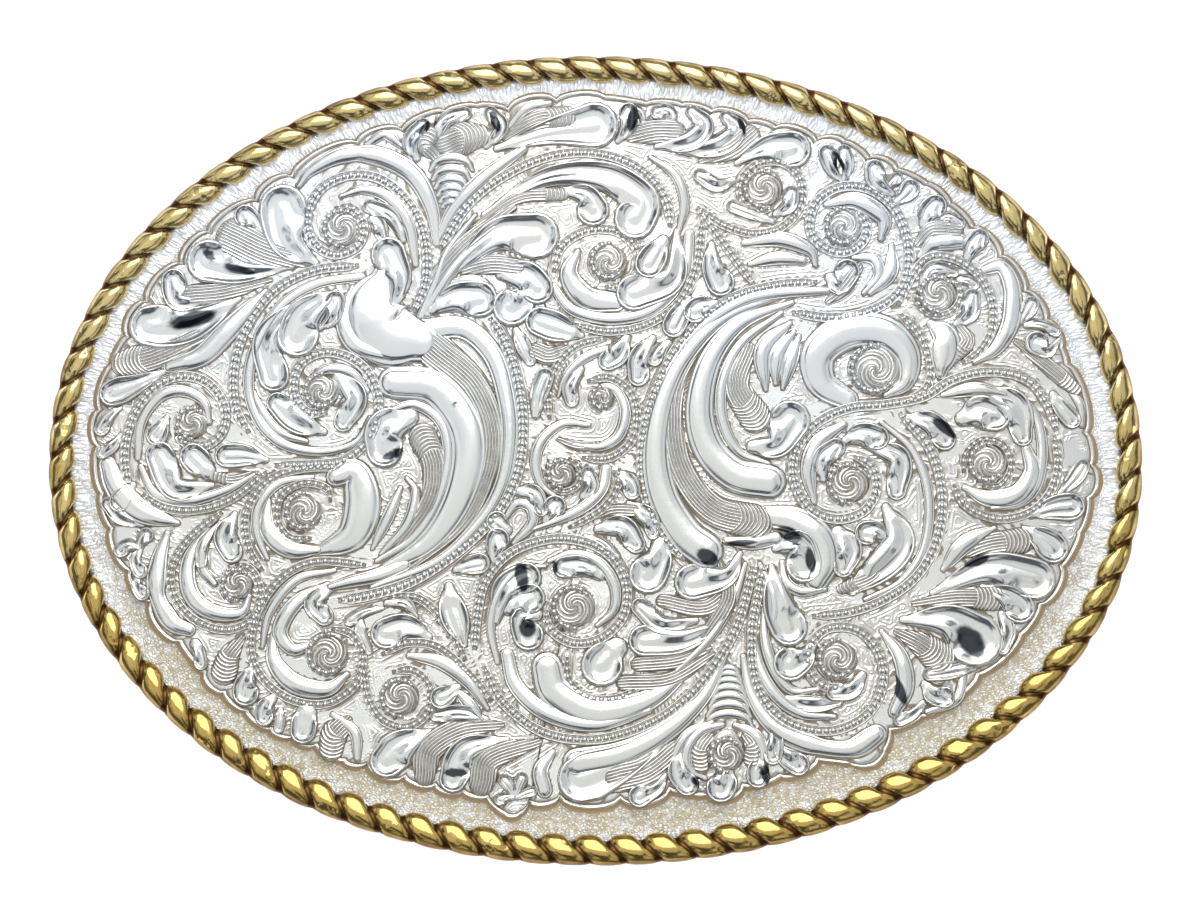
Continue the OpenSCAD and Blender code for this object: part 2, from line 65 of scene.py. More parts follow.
# Scallops of the raised medallion, clockwise from the left: columns are
# notch x, notch y, and how far the lobe to the next notch bulges out.
SCALLOPS = [
  [-47.5, 1.2, 0.7], [-47.4, 4.7, 0.6], [-46.2, 9.0, 0.3], [-44.8, 11.7, 0.9],
  [-43.0, 15.1, 0.9], [-39.7, 18.7, 0.8], [-37.1, 21.7, 0.8], [-32.6, 24.7, 0.9],
  [-29.2, 27.0, 1.0], [-23.0, 30.3, 0.8], [-18.7, 31.5, 0.6], [-14.6, 33.3, 0.3],
  [-11.6, 33.9, 0.3], [-8.6, 33.5, 0.9], [-4.0, 34.4, 0.6], [0.6, 34.8, 0.1],
  [4.6, 34.2, 0.3], [8.0, 34.1, 0.3], [10.8, 33.5, 0.6], [14.3, 32.6, 0.3],
  [16.9, 32.0, 0.7], [20.8, 30.8, 0.5], [23.5, 30.8, 0.3], [25.8, 29.2, 0.6],
  [28.5, 28.2, 0.2], [31.4, 26.9, 0.4], [33.6, 25.0, 0.3], [35.8, 22.8, 0.7],
  [38.5, 20.1, 0.7], [40.9, 16.8, 0.6], [42.9, 14.1, 0.5], [44.4, 11.4, 0.1],
  [44.9, 9.9, 0.9], [46.8, 3.3, 0.4], [47.3, 0.3, 0.8], [47.1, -2.9, 0.3],
  [46.3, -6.2, 0.3], [44.6, -9.5, 0.8], [42.6, -13.2, 0.3], [40.8, -16.1, 0.2],
  [39.3, -18.3, 0.2], [36.8, -20.0, 0.7], [31.3, -24.1, 0.3], [28.4, -25.4, 0.2],
  [27.9, -27.4, 0.3], [26.6, -28.9, 0.2], [24.6, -28.7, 0.0], [21.6, -28.4, 0.6], [18.0, -30.0, 0.3],
  [14.5, -31.0, 0.9], [10.9, -31.9, 0.2], [7.5, -31.4, 1.0], [2.8, -32.3, 1.0],
  [-3.0, -32.2, 0.6], [-5.9, -32.7, 0.2], [-6.8, -33.9, 0.3], [-8.2, -33.9, 0.2],
  [-9.9, -32.3, 0.3], [-12.2, -31.8, 0.5], [-14.9, -31.2, 0.5], [-17.8, -30.4, 0.9],
  [-21.3, -29.0, 0.5], [-23.6, -28.9, 0.3], [-26.3, -27.4, 0.5], [-28.5, -26.6, 0.4],
  [-30.6, -25.9, 0.4], [-33.0, -24.1, 0.4], [-35.1, -22.4, 0.6], [-37.0, -20.5, 0.2],
  [-39.4, -17.5, 1.0], [-42.2, -13.7, 0.7], [-44.3, -10.7, 0.7], [-46.1, -6.7, 0.4],
  [-47.1, -3.3, 0.5]
]

# Spiral eyes: columns are x, y and radius.
EYES = [
  [-24.2, 22.0, 1.9], [1.2, 18.8, 1.8], [15.8, 26.1, 1.9], [23.5, 22.4, 1.8],
  [32.5, 16.3, 1.8], [-26.0, 6.3, 1.7], [-38.3, 3.4, 1.6], [-27.6, -5.2, 1.8],
  [-33.8, -12.0, 1.6], [-25.1, -18.8, 2.0], [-18.2, -22.7, 1.9], [0.7, 5.8, 1.1],
  [-3.1, -1.3, 1.4], [26.6, 8.8, 2.4], [24.2, -1.9, 2.0], [37.4, 0.1, 1.9],
  [-1.8, -14.0, 2.1], [23.3, -18.8, 1.9], [12.9, -27.9, 1.7]
]

# Beaded bands: columns are width and the points of the middle line.
BANDS = [
  [1.0, [[-10.2, 13.6], [-8.7, 11.2], [-7.5, 8], [-6.9, 4.4], [-6.9, 1], [-7.5, -2],
        [-8.9, -4.8], [-11.2, -7.4], [-14.4, -10], [-17.8, -12], [-21.4, -13.1], [-24.4, -13.6]]],
  [0.9, [[-17.4, 13.8], [-16.2, 17], [-16.4, 21], [-17.8, 24.2], [-20.4, 26.5], [-23.4, 27],
        [-26.2, 25.8], [-27.6, 23.2], [-27, 20.6], [-25, 19.4], [-22.8, 20.2], [-22.2, 22],
        [-23.2, 23.8], [-25.2, 23.8]]],
  [0.9, [[-22.4, 18.4], [-26.8, 17.9], [-30.6, 16], [-33.2, 12.6], [-34.4, 8.6], [-34.2, 4.8],
        [-32.8, 2.2]]],
  [0.9, [[-44.3, -3], [-44.8, 0.5], [-44, 4], [-42.2, 6.6], [-39.6, 7.8], [-37, 7.2],
        [-35.3, 5], [-35.4, 2.6], [-37, 1.2], [-39.2, 1.6], [-40, 3.2]]],
  [0.9, [[-30.6, -0.7], [-26.4, -0.6], [-23.6, -0.1], [-21.3, 2.2], [-20.6, 5.6], [-22.2, 8.8],
        [-25.4, 10.1], [-28, 9], [-28.7, 6.4], [-27.4, 4.4], [-25.2, 4.4]]],
  [0.8, [[-31, -1.2], [-34.6, -4], [-38, -5], [-41, -4.7], [-43.2, -3.3]]],
  [0.8, [[-35.2, -5], [-38.6, -7.8], [-40.2, -10.8], [-39.6, -13.6], [-37.6, -15.6],
        [-34.8, -16.4], [-32.4, -15.4], [-31.6, -13], [-32.4, -10.8], [-34.2, -10]]],
  [0.8, [[-23.6, -0.9], [-27.6, -1], [-31, -2.2], [-33.1, -5.2], [-32.8, -8.6], [-31.3, -10.9]]],
  [0.8, [[-21.4, -10.2], [-26.4, -9.9], [-29.8, -11.6], [-31.9, -14.8], [-32.5, -18.2],
        [-31.3, -21], [-28.6, -23], [-25.2, -23.4], [-22.5, -21.6], [-21.8, -19],
        [-22.8, -16.8], [-25, -16.2]]],
  [0.7, [[-25, -4.4], [-25.4, -2.9], [-27.6, -2.4], [-29.7, -3.6], [-30.1, -5.8], [-28.8, -7.6],
        [-26.6, -7.6]]],
  [0.8, [[-21.7, -19.8], [-21.4, -22.4], [-20, -24.8], [-17.6, -25.6], [-15.6, -24.2],
        [-15.4, -21.8], [-17, -20.2], [-19.2, -20.4]]],
  [0.8, [[-19.6, -13.2], [-16.4, -13.4], [-13.8, -16], [-11.9, -19.4]]],
  [0.8, [[-20.2, -18.8], [-17.6, -17.6], [-14.6, -18], [-11.6, -20.6], [-9.4, -23.2]]],
  [0.9, [[-11.2, -18.4], [-11, -15], [-10.2, -11.6], [-7.8, -8.9], [-4, -7.6], [-0.4, -8],
        [2, -9.6], [3.2, -12.2], [2.8, -15], [0.8, -17], [-1.8, -17.5], [-4, -16.2],
        [-4.5, -14.2]]],
  [0.9, [[15.1, -9.8], [14.6, -12.4], [13.6, -15.8], [12, -18.8], [9.4, -22.2], [5.6, -25], [0.5, -26.6],
        [-4.6, -26], [-8.6, -23], [-10.4, -19.6]]],
  [0.7, [[-2.4, -18.6], [-2.2, -21], [-0.4, -22.6], [2.2, -22.7], [4.8, -21.6]]],
  [0.9, [[16.3, -9.6], [15.7, -12.4], [15.1, -16], [15.4, -20.4], [17, -23.6], [20, -25.3], [23.4, -25.4],
        [26.4, -23.6], [27.6, -20.6], [27, -17.8], [25, -15.9], [22.4, -15.8], [20.7, -17.4],
        [20.6, -19.8], [22.2, -21.4], [24.4, -21.2]]],
  [0.9, [[21.2, 17.2], [17, 16.8], [13, 15.6], [10, 13.4], [7.6, 10.6], [6, 7.4], [4.9, 4],
        [4.4, 0], [4.9, -3.6], [6.4, -7], [8.8, -9.6]]],
  [0.9, [[-15, 19.8], [-12.3, 24.2], [-8.5, 27.2], [-4, 29], [0.5, 29.1], [4.2, 27.6],
        [6.5, 24.8], [7, 22]]],
  [0.8, [[10, 23], [9.5, 18.6], [7.8, 15], [4.8, 12.9], [1.2, 12.2], [-2.2, 12.9]]],
  [0.9, [[-4.1, 17.6], [-3.4, 20.2], [-1, 21.8], [1.8, 21.8], [3.7, 20.3], [3.9, 18.2],
        [2.6, 16.7], [0.6, 16.4]]],
  [0.8, [[15.2, 16.6], [12.6, 20], [9.4, 24.2]]],
  [0.8, [[9.3, 24.3], [11.8, 22.6], [14.8, 21.7], [17.6, 22.4], [19.3, 24.5], [19.3, 26.9],
        [17.6, 28.5], [15.3, 28.4], [13.8, 27], [13.7, 25.2], [15.2, 24], [17, 24.2]]],
  [0.9, [[18.4, 14.3], [22.4, 13.8], [26, 14.5], [28.6, 16.2], [29.6, 18.8], [29.4, 21.8],
        [28, 24.6], [25.6, 26.2], [22.8, 26.2], [20.7, 24.6], [20.2, 22.2], [21.4, 20.6],
        [23.4, 20], [25.2, 21], [25.6, 22.8], [24.4, 24.2]]],
  [0.8, [[28.6, 14.9], [29.9, 17.8], [31.6, 19.7], [34, 19.6], [36.4, 18], [37.6, 15.6],
        [37.6, 13], [36.4, 10.8], [34.6, 9.6]]],
  [0.7, [[30.7, 17.2], [30.6, 15.4], [32, 14.2], [33.8, 14.6], [34.7, 16.2], [34, 17.9]]],
  [0.8, [[28.8, 14.4], [30.8, 12.4], [31.8, 9.6], [31.4, 7.2], [29, 5.7]]],
  [0.9, [[43.9, 3.2], [43, 5.8], [41, 8.2], [37.5, 8.9], [34, 8.1], [31.2, 6.4], [27.6, 5.6],
        [24.2, 5.2], [21.2, 3.8], [19.2, 1.4], [18.9, -1.6], [20.4, -4.4], [23, -5.4],
        [25.6, -4.6], [26.8, -2.4], [26.2, -0.2], [24.4, 0.6]]],
  [0.9, [[28.8, 5], [31.6, 1.8], [32.8, -1.4], [33, -4.8], [32.2, -8.2], [30.4, -11],
        [27.6, -13], [24.4, -14.2], [20.6, -14.7]]],
  [0.8, [[43.6, 3.2], [44, 0.2], [43.2, -2.6], [41.2, -4.5], [38.2, -5.1], [35.4, -4], [34, -1.8]]],
  [0.7, [[35, -1], [35.2, 1], [36.8, 2.4], [38.8, 1.9], [39.6, 0], [38.6, -1.9], [36.6, -2]]],
  [0.8, [[-4.3, 3.6], [-4.5, 6.2], [-3.7, 8.8], [-1.8, 10.8], [1.2, 11.6]]],
  [0.8, [[-1, 7.4], [1.4, 7.8], [3.5, 6.2], [4, 3.6], [3.2, 1.4], [1.2, 0.1], [-1.4, 0.2]]],
  [0.6, [[-4.4, 0.2], [-4.4, -2], [-3.1, -3.1], [-1.6, -2.5], [-1.3, -1], [-2.6, 0.3]]],
  [0.7, [[2.4, -0.6], [2.1, -2.8], [0.9, -4.6], [-0.9, -5.8], [-2.6, -6.6]]]
]

# Smooth strands: columns are width at the start, middle and end, and points.
STRANDS = [
  [0.6, 1.6, 0.5, [[-15.2, 20.5], [-15.8, 24], [-17.6, 27.1], [-20.8, 28.8], [-24.3, 28.9],
        [-27.3, 27.4], [-28.4, 26]]],
  [0.5, 1.0, 0.4, [[-17.2, 18.5], [-17.9, 22.3], [-19.8, 24.8], [-22.2, 25.6], [-24.4, 25]]],
  [0.4, 1.8, 0.9, [[-31.5, 15.9], [-35.4, 11.8], [-37.6, 9.7], [-40.6, 8.7]]],
  [0.5, 1.0, 0.5, [[-43.5, 0], [-43.2, 3.5], [-41.5, 5.9], [-39.3, 6.4], [-37.3, 5.4],
        [-36.7, 3.4]]],
  [1.3, 2.0, 0.4, [[-46.4, -0.6], [-45.4, -3], [-43, -5.2], [-39.6, -6.2]]],
  [0.5, 0.9, 0.4, [[-43.2, -0.8], [-41.9, -3.3], [-39, -4.1], [-35.4, -3.2], [-32.4, -1.6]]],
  [0.4, 1.4, 0.5, [[-36.8, -6.8], [-38.5, -9.8], [-38.3, -12.8], [-36.4, -14.6], [-33.6, -14.8],
        [-32.7, -13.2]]],
  [0.5, 1.7, 1.0, [[-40.6, -7.2], [-41.4, -10], [-41.5, -13], [-40.1, -15.6], [-38.4, -16.4]]],
  [0.4, 0.9, 0.4, [[-26.8, -1.8], [-30, -2.4], [-31.9, -4.6], [-32, -7.2], [-31, -9.6]]],
  [0.4, 1.5, 0.6, [[-31, -4], [-31, -6.8], [-29, -8.7], [-26.2, -8.8]]],
  [0.4, 0.8, 0.4, [[-24.6, -10.7], [-28.2, -11.6], [-30.7, -14.6], [-31.4, -18]]],
  [0.4, 1.3, 0.7, [[-25.2, -12], [-28.2, -13.8], [-29.7, -16.4], [-28.6, -18.2], [-27.2, -18]]],
  [0.4, 1.6, 0.5, [[-30.4, -16.8], [-30.2, -19.4], [-28.2, -21.5], [-25.2, -22], [-23.3, -20.6]]],
  [0.4, 0.9, 0.6, [[-24.6, -24.4], [-22.5, -26.1], [-22.2, -28.6]]],
  [0.5, 1.2, 1.2, [[-3.7, -27.9], [-4.8, -29.6], [-4.4, -31.5]]],
  [0.5, 1.6, 2.2, [[12.6, -18.4], [10.6, -22.4], [7.2, -25.7], [3, -27.9], [-1.4, -28.8]]],
  [0.5, 1.5, 1.8, [[14.3, -18.6], [15.2, -22.4], [17.5, -25.4], [21, -26.9], [24.6, -27.2],
        [27, -25.8]]],
  [0.4, 1.4, 1.0, [[27.4, -16], [29.2, -18.4], [29.7, -21.2], [28.7, -23.6]]],
  [0.5, 1.1, 0.6, [[35.2, -19.9], [34.6, -22.3], [31.8, -23.6]]],
  [0.4, 1.5, 0.4, [[33.2, -10], [35.1, -7.7], [38, -6]]],
  [0.3, 0.8, 0.5, [[45, 7.3], [46.1, 5.9], [46.2, 4]]],
  [0.7, 1.5, 0.4, [[36.9, 18.6], [38.5, 18.9], [39.5, 16.9], [39.4, 13.8], [38.1, 11.2],
        [36, 9.8]]],
  [0.4, 1.4, 1.1, [[30.7, 19.8], [32.2, 21.1], [34.6, 21.3]]],
  [0.4, 0.9, 0.5, [[-8.5, 31.7], [-6.8, 33.5], [-4.6, 34]]],
  [0.4, 1.0, 0.4, [[-22, 29.9], [-20.3, 30.9], [-18.7, 29.8]]],
  [0.4, 0.9, 0.7, [[-14.4, 16.6], [-11.6, 17], [-9.5, 15.5]]],
  [0.7, 0.7, 0.4, [[-16.6, 13.6], [-15.3, 16.8], [-14.2, 19.8], [-11.6, 23.2]]],
  [0.7, 0.7, 0.3, [[-16, 13.8], [-14.1, 17], [-12.2, 19.9], [-9.4, 22.6]]],
  [1.8, 1.2, 0.5, [[-16.4, 12.2], [-12.6, 12.4], [-9.8, 9.9], [-8.5, 6], [-8.1, 2],
        [-8.8, -2.4], [-11, -6.2], [-15, -9.9], [-21, -12.3]]],
  [0.5, 1.5, 0.7, [[-23.2, 16.2], [-24, 13.4], [-22.8, 10.8], [-19.4, 9.6]]],
  [0.4, 2.6, 2.4, [[-20.6, -10.8], [-16, -8.2], [-13.2, -4.4], [-12, 0.2], [-12.7, 3.8],
        [-15.4, 6.8], [-19.2, 7.2]]],
  [0.4, 0.9, 0.6, [[-20.6, -9.8], [-17, -7.4], [-14.7, -3.6], [-13.9, 0.4], [-14.7, 3.5],
        [-17.2, 5.1], [-19.8, 4.4]]],
  [0.3, 0.9, 0.4, [[-20.2, -9.1], [-17.7, -6.2], [-17, -3.2], [-17.8, -1.9]]],
  [0.3, 1.0, 0.4, [[-21, -8.6], [-19.6, -5.7], [-18.4, -2.8]]],
  [0.5, 2.8, 1.4, [[-26.4, -9], [-23, -7.4], [-22, -4.2], [-22.8, -1.4], [-24.6, -1.8]]],
  [0.7, 0.9, 0.5, [[-22.4, 17.3], [-26.6, 16.6], [-30, 14.5], [-32.3, 10.8], [-33, 7],
        [-32, 3.6], [-29.6, 1.3], [-26, 0.6], [-22.8, 1.5], [-21.4, 3.8]]],
  [0.5, 0.9, 0.4, [[-21.7, 6.4], [-23.2, 8.1], [-25.4, 8.5], [-27.2, 7.6]]],
  [0.3, 0.8, 0.4, [[-32.8, 7], [-31.6, 4.4], [-29.8, 2.4], [-27.4, 1.6]]],
  [0.4, 1.8, 2.8, [[17.5, 15.8], [12.4, 13.8], [8.7, 10.2], [6.6, 6], [5.8, 1], [6.5, -3.4],
        [8.6, -7], [10.6, -8.6]]],
  [0.4, 2.0, 2.6, [[18.6, 15.2], [13.8, 13.2], [10.9, 9.6], [9.9, 5], [10.8, 1.2], [13.3, -1.3],
        [16.6, -1.9]]],
  [0.4, 0.9, 0.5, [[17.6, 14.2], [13.9, 11.3], [12.1, 7.6], [12.1, 4], [13.7, 0.9], [16.5, -0.2]]],
  [1.6, 2.3, 1.9, [[16.4, -5.2], [19.2, -5.6], [21.4, -7.2], [22, -9.4], [21.2, -11.2]]],
  [0.5, 0.9, 0.4, [[17.9, -9.6], [18.3, -11.4], [19.7, -12.3], [22, -12.1]]],
  [0.4, 1.4, 0.6, [[20.9, -3.8], [20.3, -0.8], [21.2, 1.8], [23.6, 3.6]]],
  [0.4, 0.8, 0.4, [[27.2, 3.9], [29.9, 1.6], [31.4, -1.4], [31.8, -5], [31.1, -8.6],
        [29.1, -11.3], [25.8, -13]]],
  [1.6, 2.8, 0.5, [[24, 6], [21.5, 7.6], [21.2, 10.4], [23.8, 12.5], [27.4, 12.5], [29.6, 10.4],
        [29.5, 7.8], [27.6, 6.5]]],
  [0.4, 1.4, 0.3, [[18.4, 13.2], [15.9, 10.6], [16.2, 6.8]]],
  [0.3, 1.3, 0.3, [[18.8, 12.4], [17.3, 10.2], [17.1, 7.4]]],
  [0.3, 1.2, 0.3, [[19.3, 12], [18.5, 9.6], [17.8, 7]]],
  [0.8, 1.0, 0.6, [[8, 10.6], [11.4, 13.8], [15.6, 15.8], [22, 16.4]]],
  [0.5, 1.7, 0.8, [[35.2, -2.2], [37.4, -3.2], [40.2, -2.8], [41.6, -0.6], [41, 1.6]]],
  [0.4, 0.9, 0.4, [[39.8, 7.4], [41.8, 4.8], [42.5, 1.6], [42, -1.8], [40.4, -3.6], [37.8, -4.1]]],
  [0.4, 1.2, 0.6, [[33, 6.6], [36, 7.2], [38.8, 6.8]]],
  [0.4, 1.2, 0.4, [[28, 20.8], [27.9, 18.2], [26, 16.2]]],
  [0.4, 1.0, 0.4, [[24.4, 19.6], [26.4, 19.4], [26.8, 17.8], [25.4, 16.2]]],
  [0.5, 1.5, 0.5, [[21.8, 24.6], [24.6, 25], [27.2, 23.4], [27, 21.4]]],
  [0.5, 1.3, 0.4, [[14, 20.8], [17.4, 21.2], [20.2, 20.2], [20.8, 18.8]]],
  [0.4, 1.1, 0.6, [[14.6, 18.8], [17.2, 19.4], [19.6, 19.2]]],
  [0.4, 2.6, 0.6, [[31.8, 13.4], [33.1, 12], [32.8, 8.6]]],
  [0.8, 1.0, 0.7, [[8.8, 21.6], [8.3, 17.8], [5.6, 14.5], [1.6, 13.4], [-2.2, 14.2], [-4.1, 16.4]]],
  [1.4, 1.8, 0.5, [[1.9, 15], [-0.9, 15.4], [-2.6, 17.6], [-1.8, 19.8]]],
  [0.4, 0.8, 0.4, [[-9, -19.4], [-9.7, -16], [-9, -12.8], [-7, -10.5], [-4.6, -10.2]]],
  [0.4, 0.9, 0.4, [[-4.2, -9.7], [-2, -9], [0.4, -9.7], [2, -11.8], [2, -14.2], [0.4, -15.8]]],
  [0.4, 2.2, 2.4, [[9.4, -19.8], [5.4, -22.8], [0.4, -24], [-3.4, -22.2], [-4.3, -19.8]]],
  [1.0, 1.3, 0.6, [[-8.1, -18.6], [-7.2, -21.6], [-4.2, -24.2], [0.4, -25.2], [5.4, -23.8]]],
  [0.4, 0.9, 0.4, [[-0.6, 3.3], [-3, 3.4], [-5, 1.8], [-5.6, -0.4], [-4.9, -2.6], [-3.1, -3.9]]],
  [0.3, 0.8, 0.3, [[2.8, 11], [-0.6, 9.9], [-2.7, 8.1], [-3.5, 6]]],
  [0.4, 0.9, 0.4, [[0, 6.1], [0.8, 7], [2.2, 6.4], [2.9, 4.4], [2.2, 2.2], [0.4, 1.2], [-2, 1.4]]],
  [0.5, 1.2, 0.4, [[-17.4, -18.8], [-14.4, -19.4], [-11.8, -21.2], [-9.9, -23.8]]],
  [0.4, 0.9, 0.4, [[-8.4, -5.6], [-7.4, -4.3], [-6, -4.6], [-5.9, -6.2], [-7.6, -8]]],
  [0.4, 1.0, 0.5, [[10.8, -30.2], [9.2, -29.2], [9.1, -27.4], [10.4, -25.7], [12.4, -25.1]]],
  [0.4, 1.0, 0.5, [[13.6, -25.1], [15.4, -25.9], [16.3, -27.4], [16.1, -28.8]]],
  [0.3, 0.9, 0.4, [[11.4, -28.2], [11.8, -26.8], [13, -26], [14.1, -27]]],
  [0.4, 0.9, 0.5, [[7.9, -29.6], [8, -27.8], [9.3, -25.9], [11.4, -24.9]]],
  [0.4, 1.0, 0.5, [[15.3, -16.6], [15.9, -19.6], [17.4, -22.2], [19.8, -23.9], [23, -24.2]]],
  [0.4, 0.9, 0.4, [[16.2, -14], [16.4, -17.2], [17.4, -20], [19, -21.8], [21.4, -21.6]]],
  [0.4, 1.0, 0.3, [[-13, -22], [-11.8, -23.2], [-10.4, -24.8]]],
  [0.5, 1.2, 0.6, [[-15.2, 20.8], [-13.6, 23.9], [-10.6, 27], [-7, 29.6]]],
  [0.4, 0.9, 0.4, [[7.8, 22], [8.3, 24.6], [7.4, 27.2], [5, 28.9]]],
  [0.4, 0.8, 0.4, [[14.4, -9.8], [13.2, -13.4], [11, -17], [7.6, -20.4]]],
  [0.4, 0.8, 0.4, [[15.8, -9.8], [17.2, -13], [17, -16.2]]],
  [0.4, 0.9, 0.4, [[-16.9, 13], [-13.4, 18.4], [-9.8, 21.6]]],
  [0.4, 0.9, 0.5, [[-35.6, -6.2], [-37, -8], [-37.2, -10.4], [-36, -12]]],
  [1.4, 5.2, 3.0, [[-20.3, 17.4], [-21.2, 14.6], [-20, 12], [-16.8, 11.1]]],
  [1.0, 1.1, 0.6, [[17.4, -7.3], [15, -7.8], [12.6, -7.6]]],
  [0.9, 0.9, 0.3, [[1.1, -0.9], [0.7, -2.8], [-0.9, -4.5], [-3.2, -5.7], [-6, -6.8]]],
  [1.1, 1.1, 0.6, [[-18, -10.1], [-20.6, -11.2], [-23.2, -11.8], [-25, -12.3]]]
]

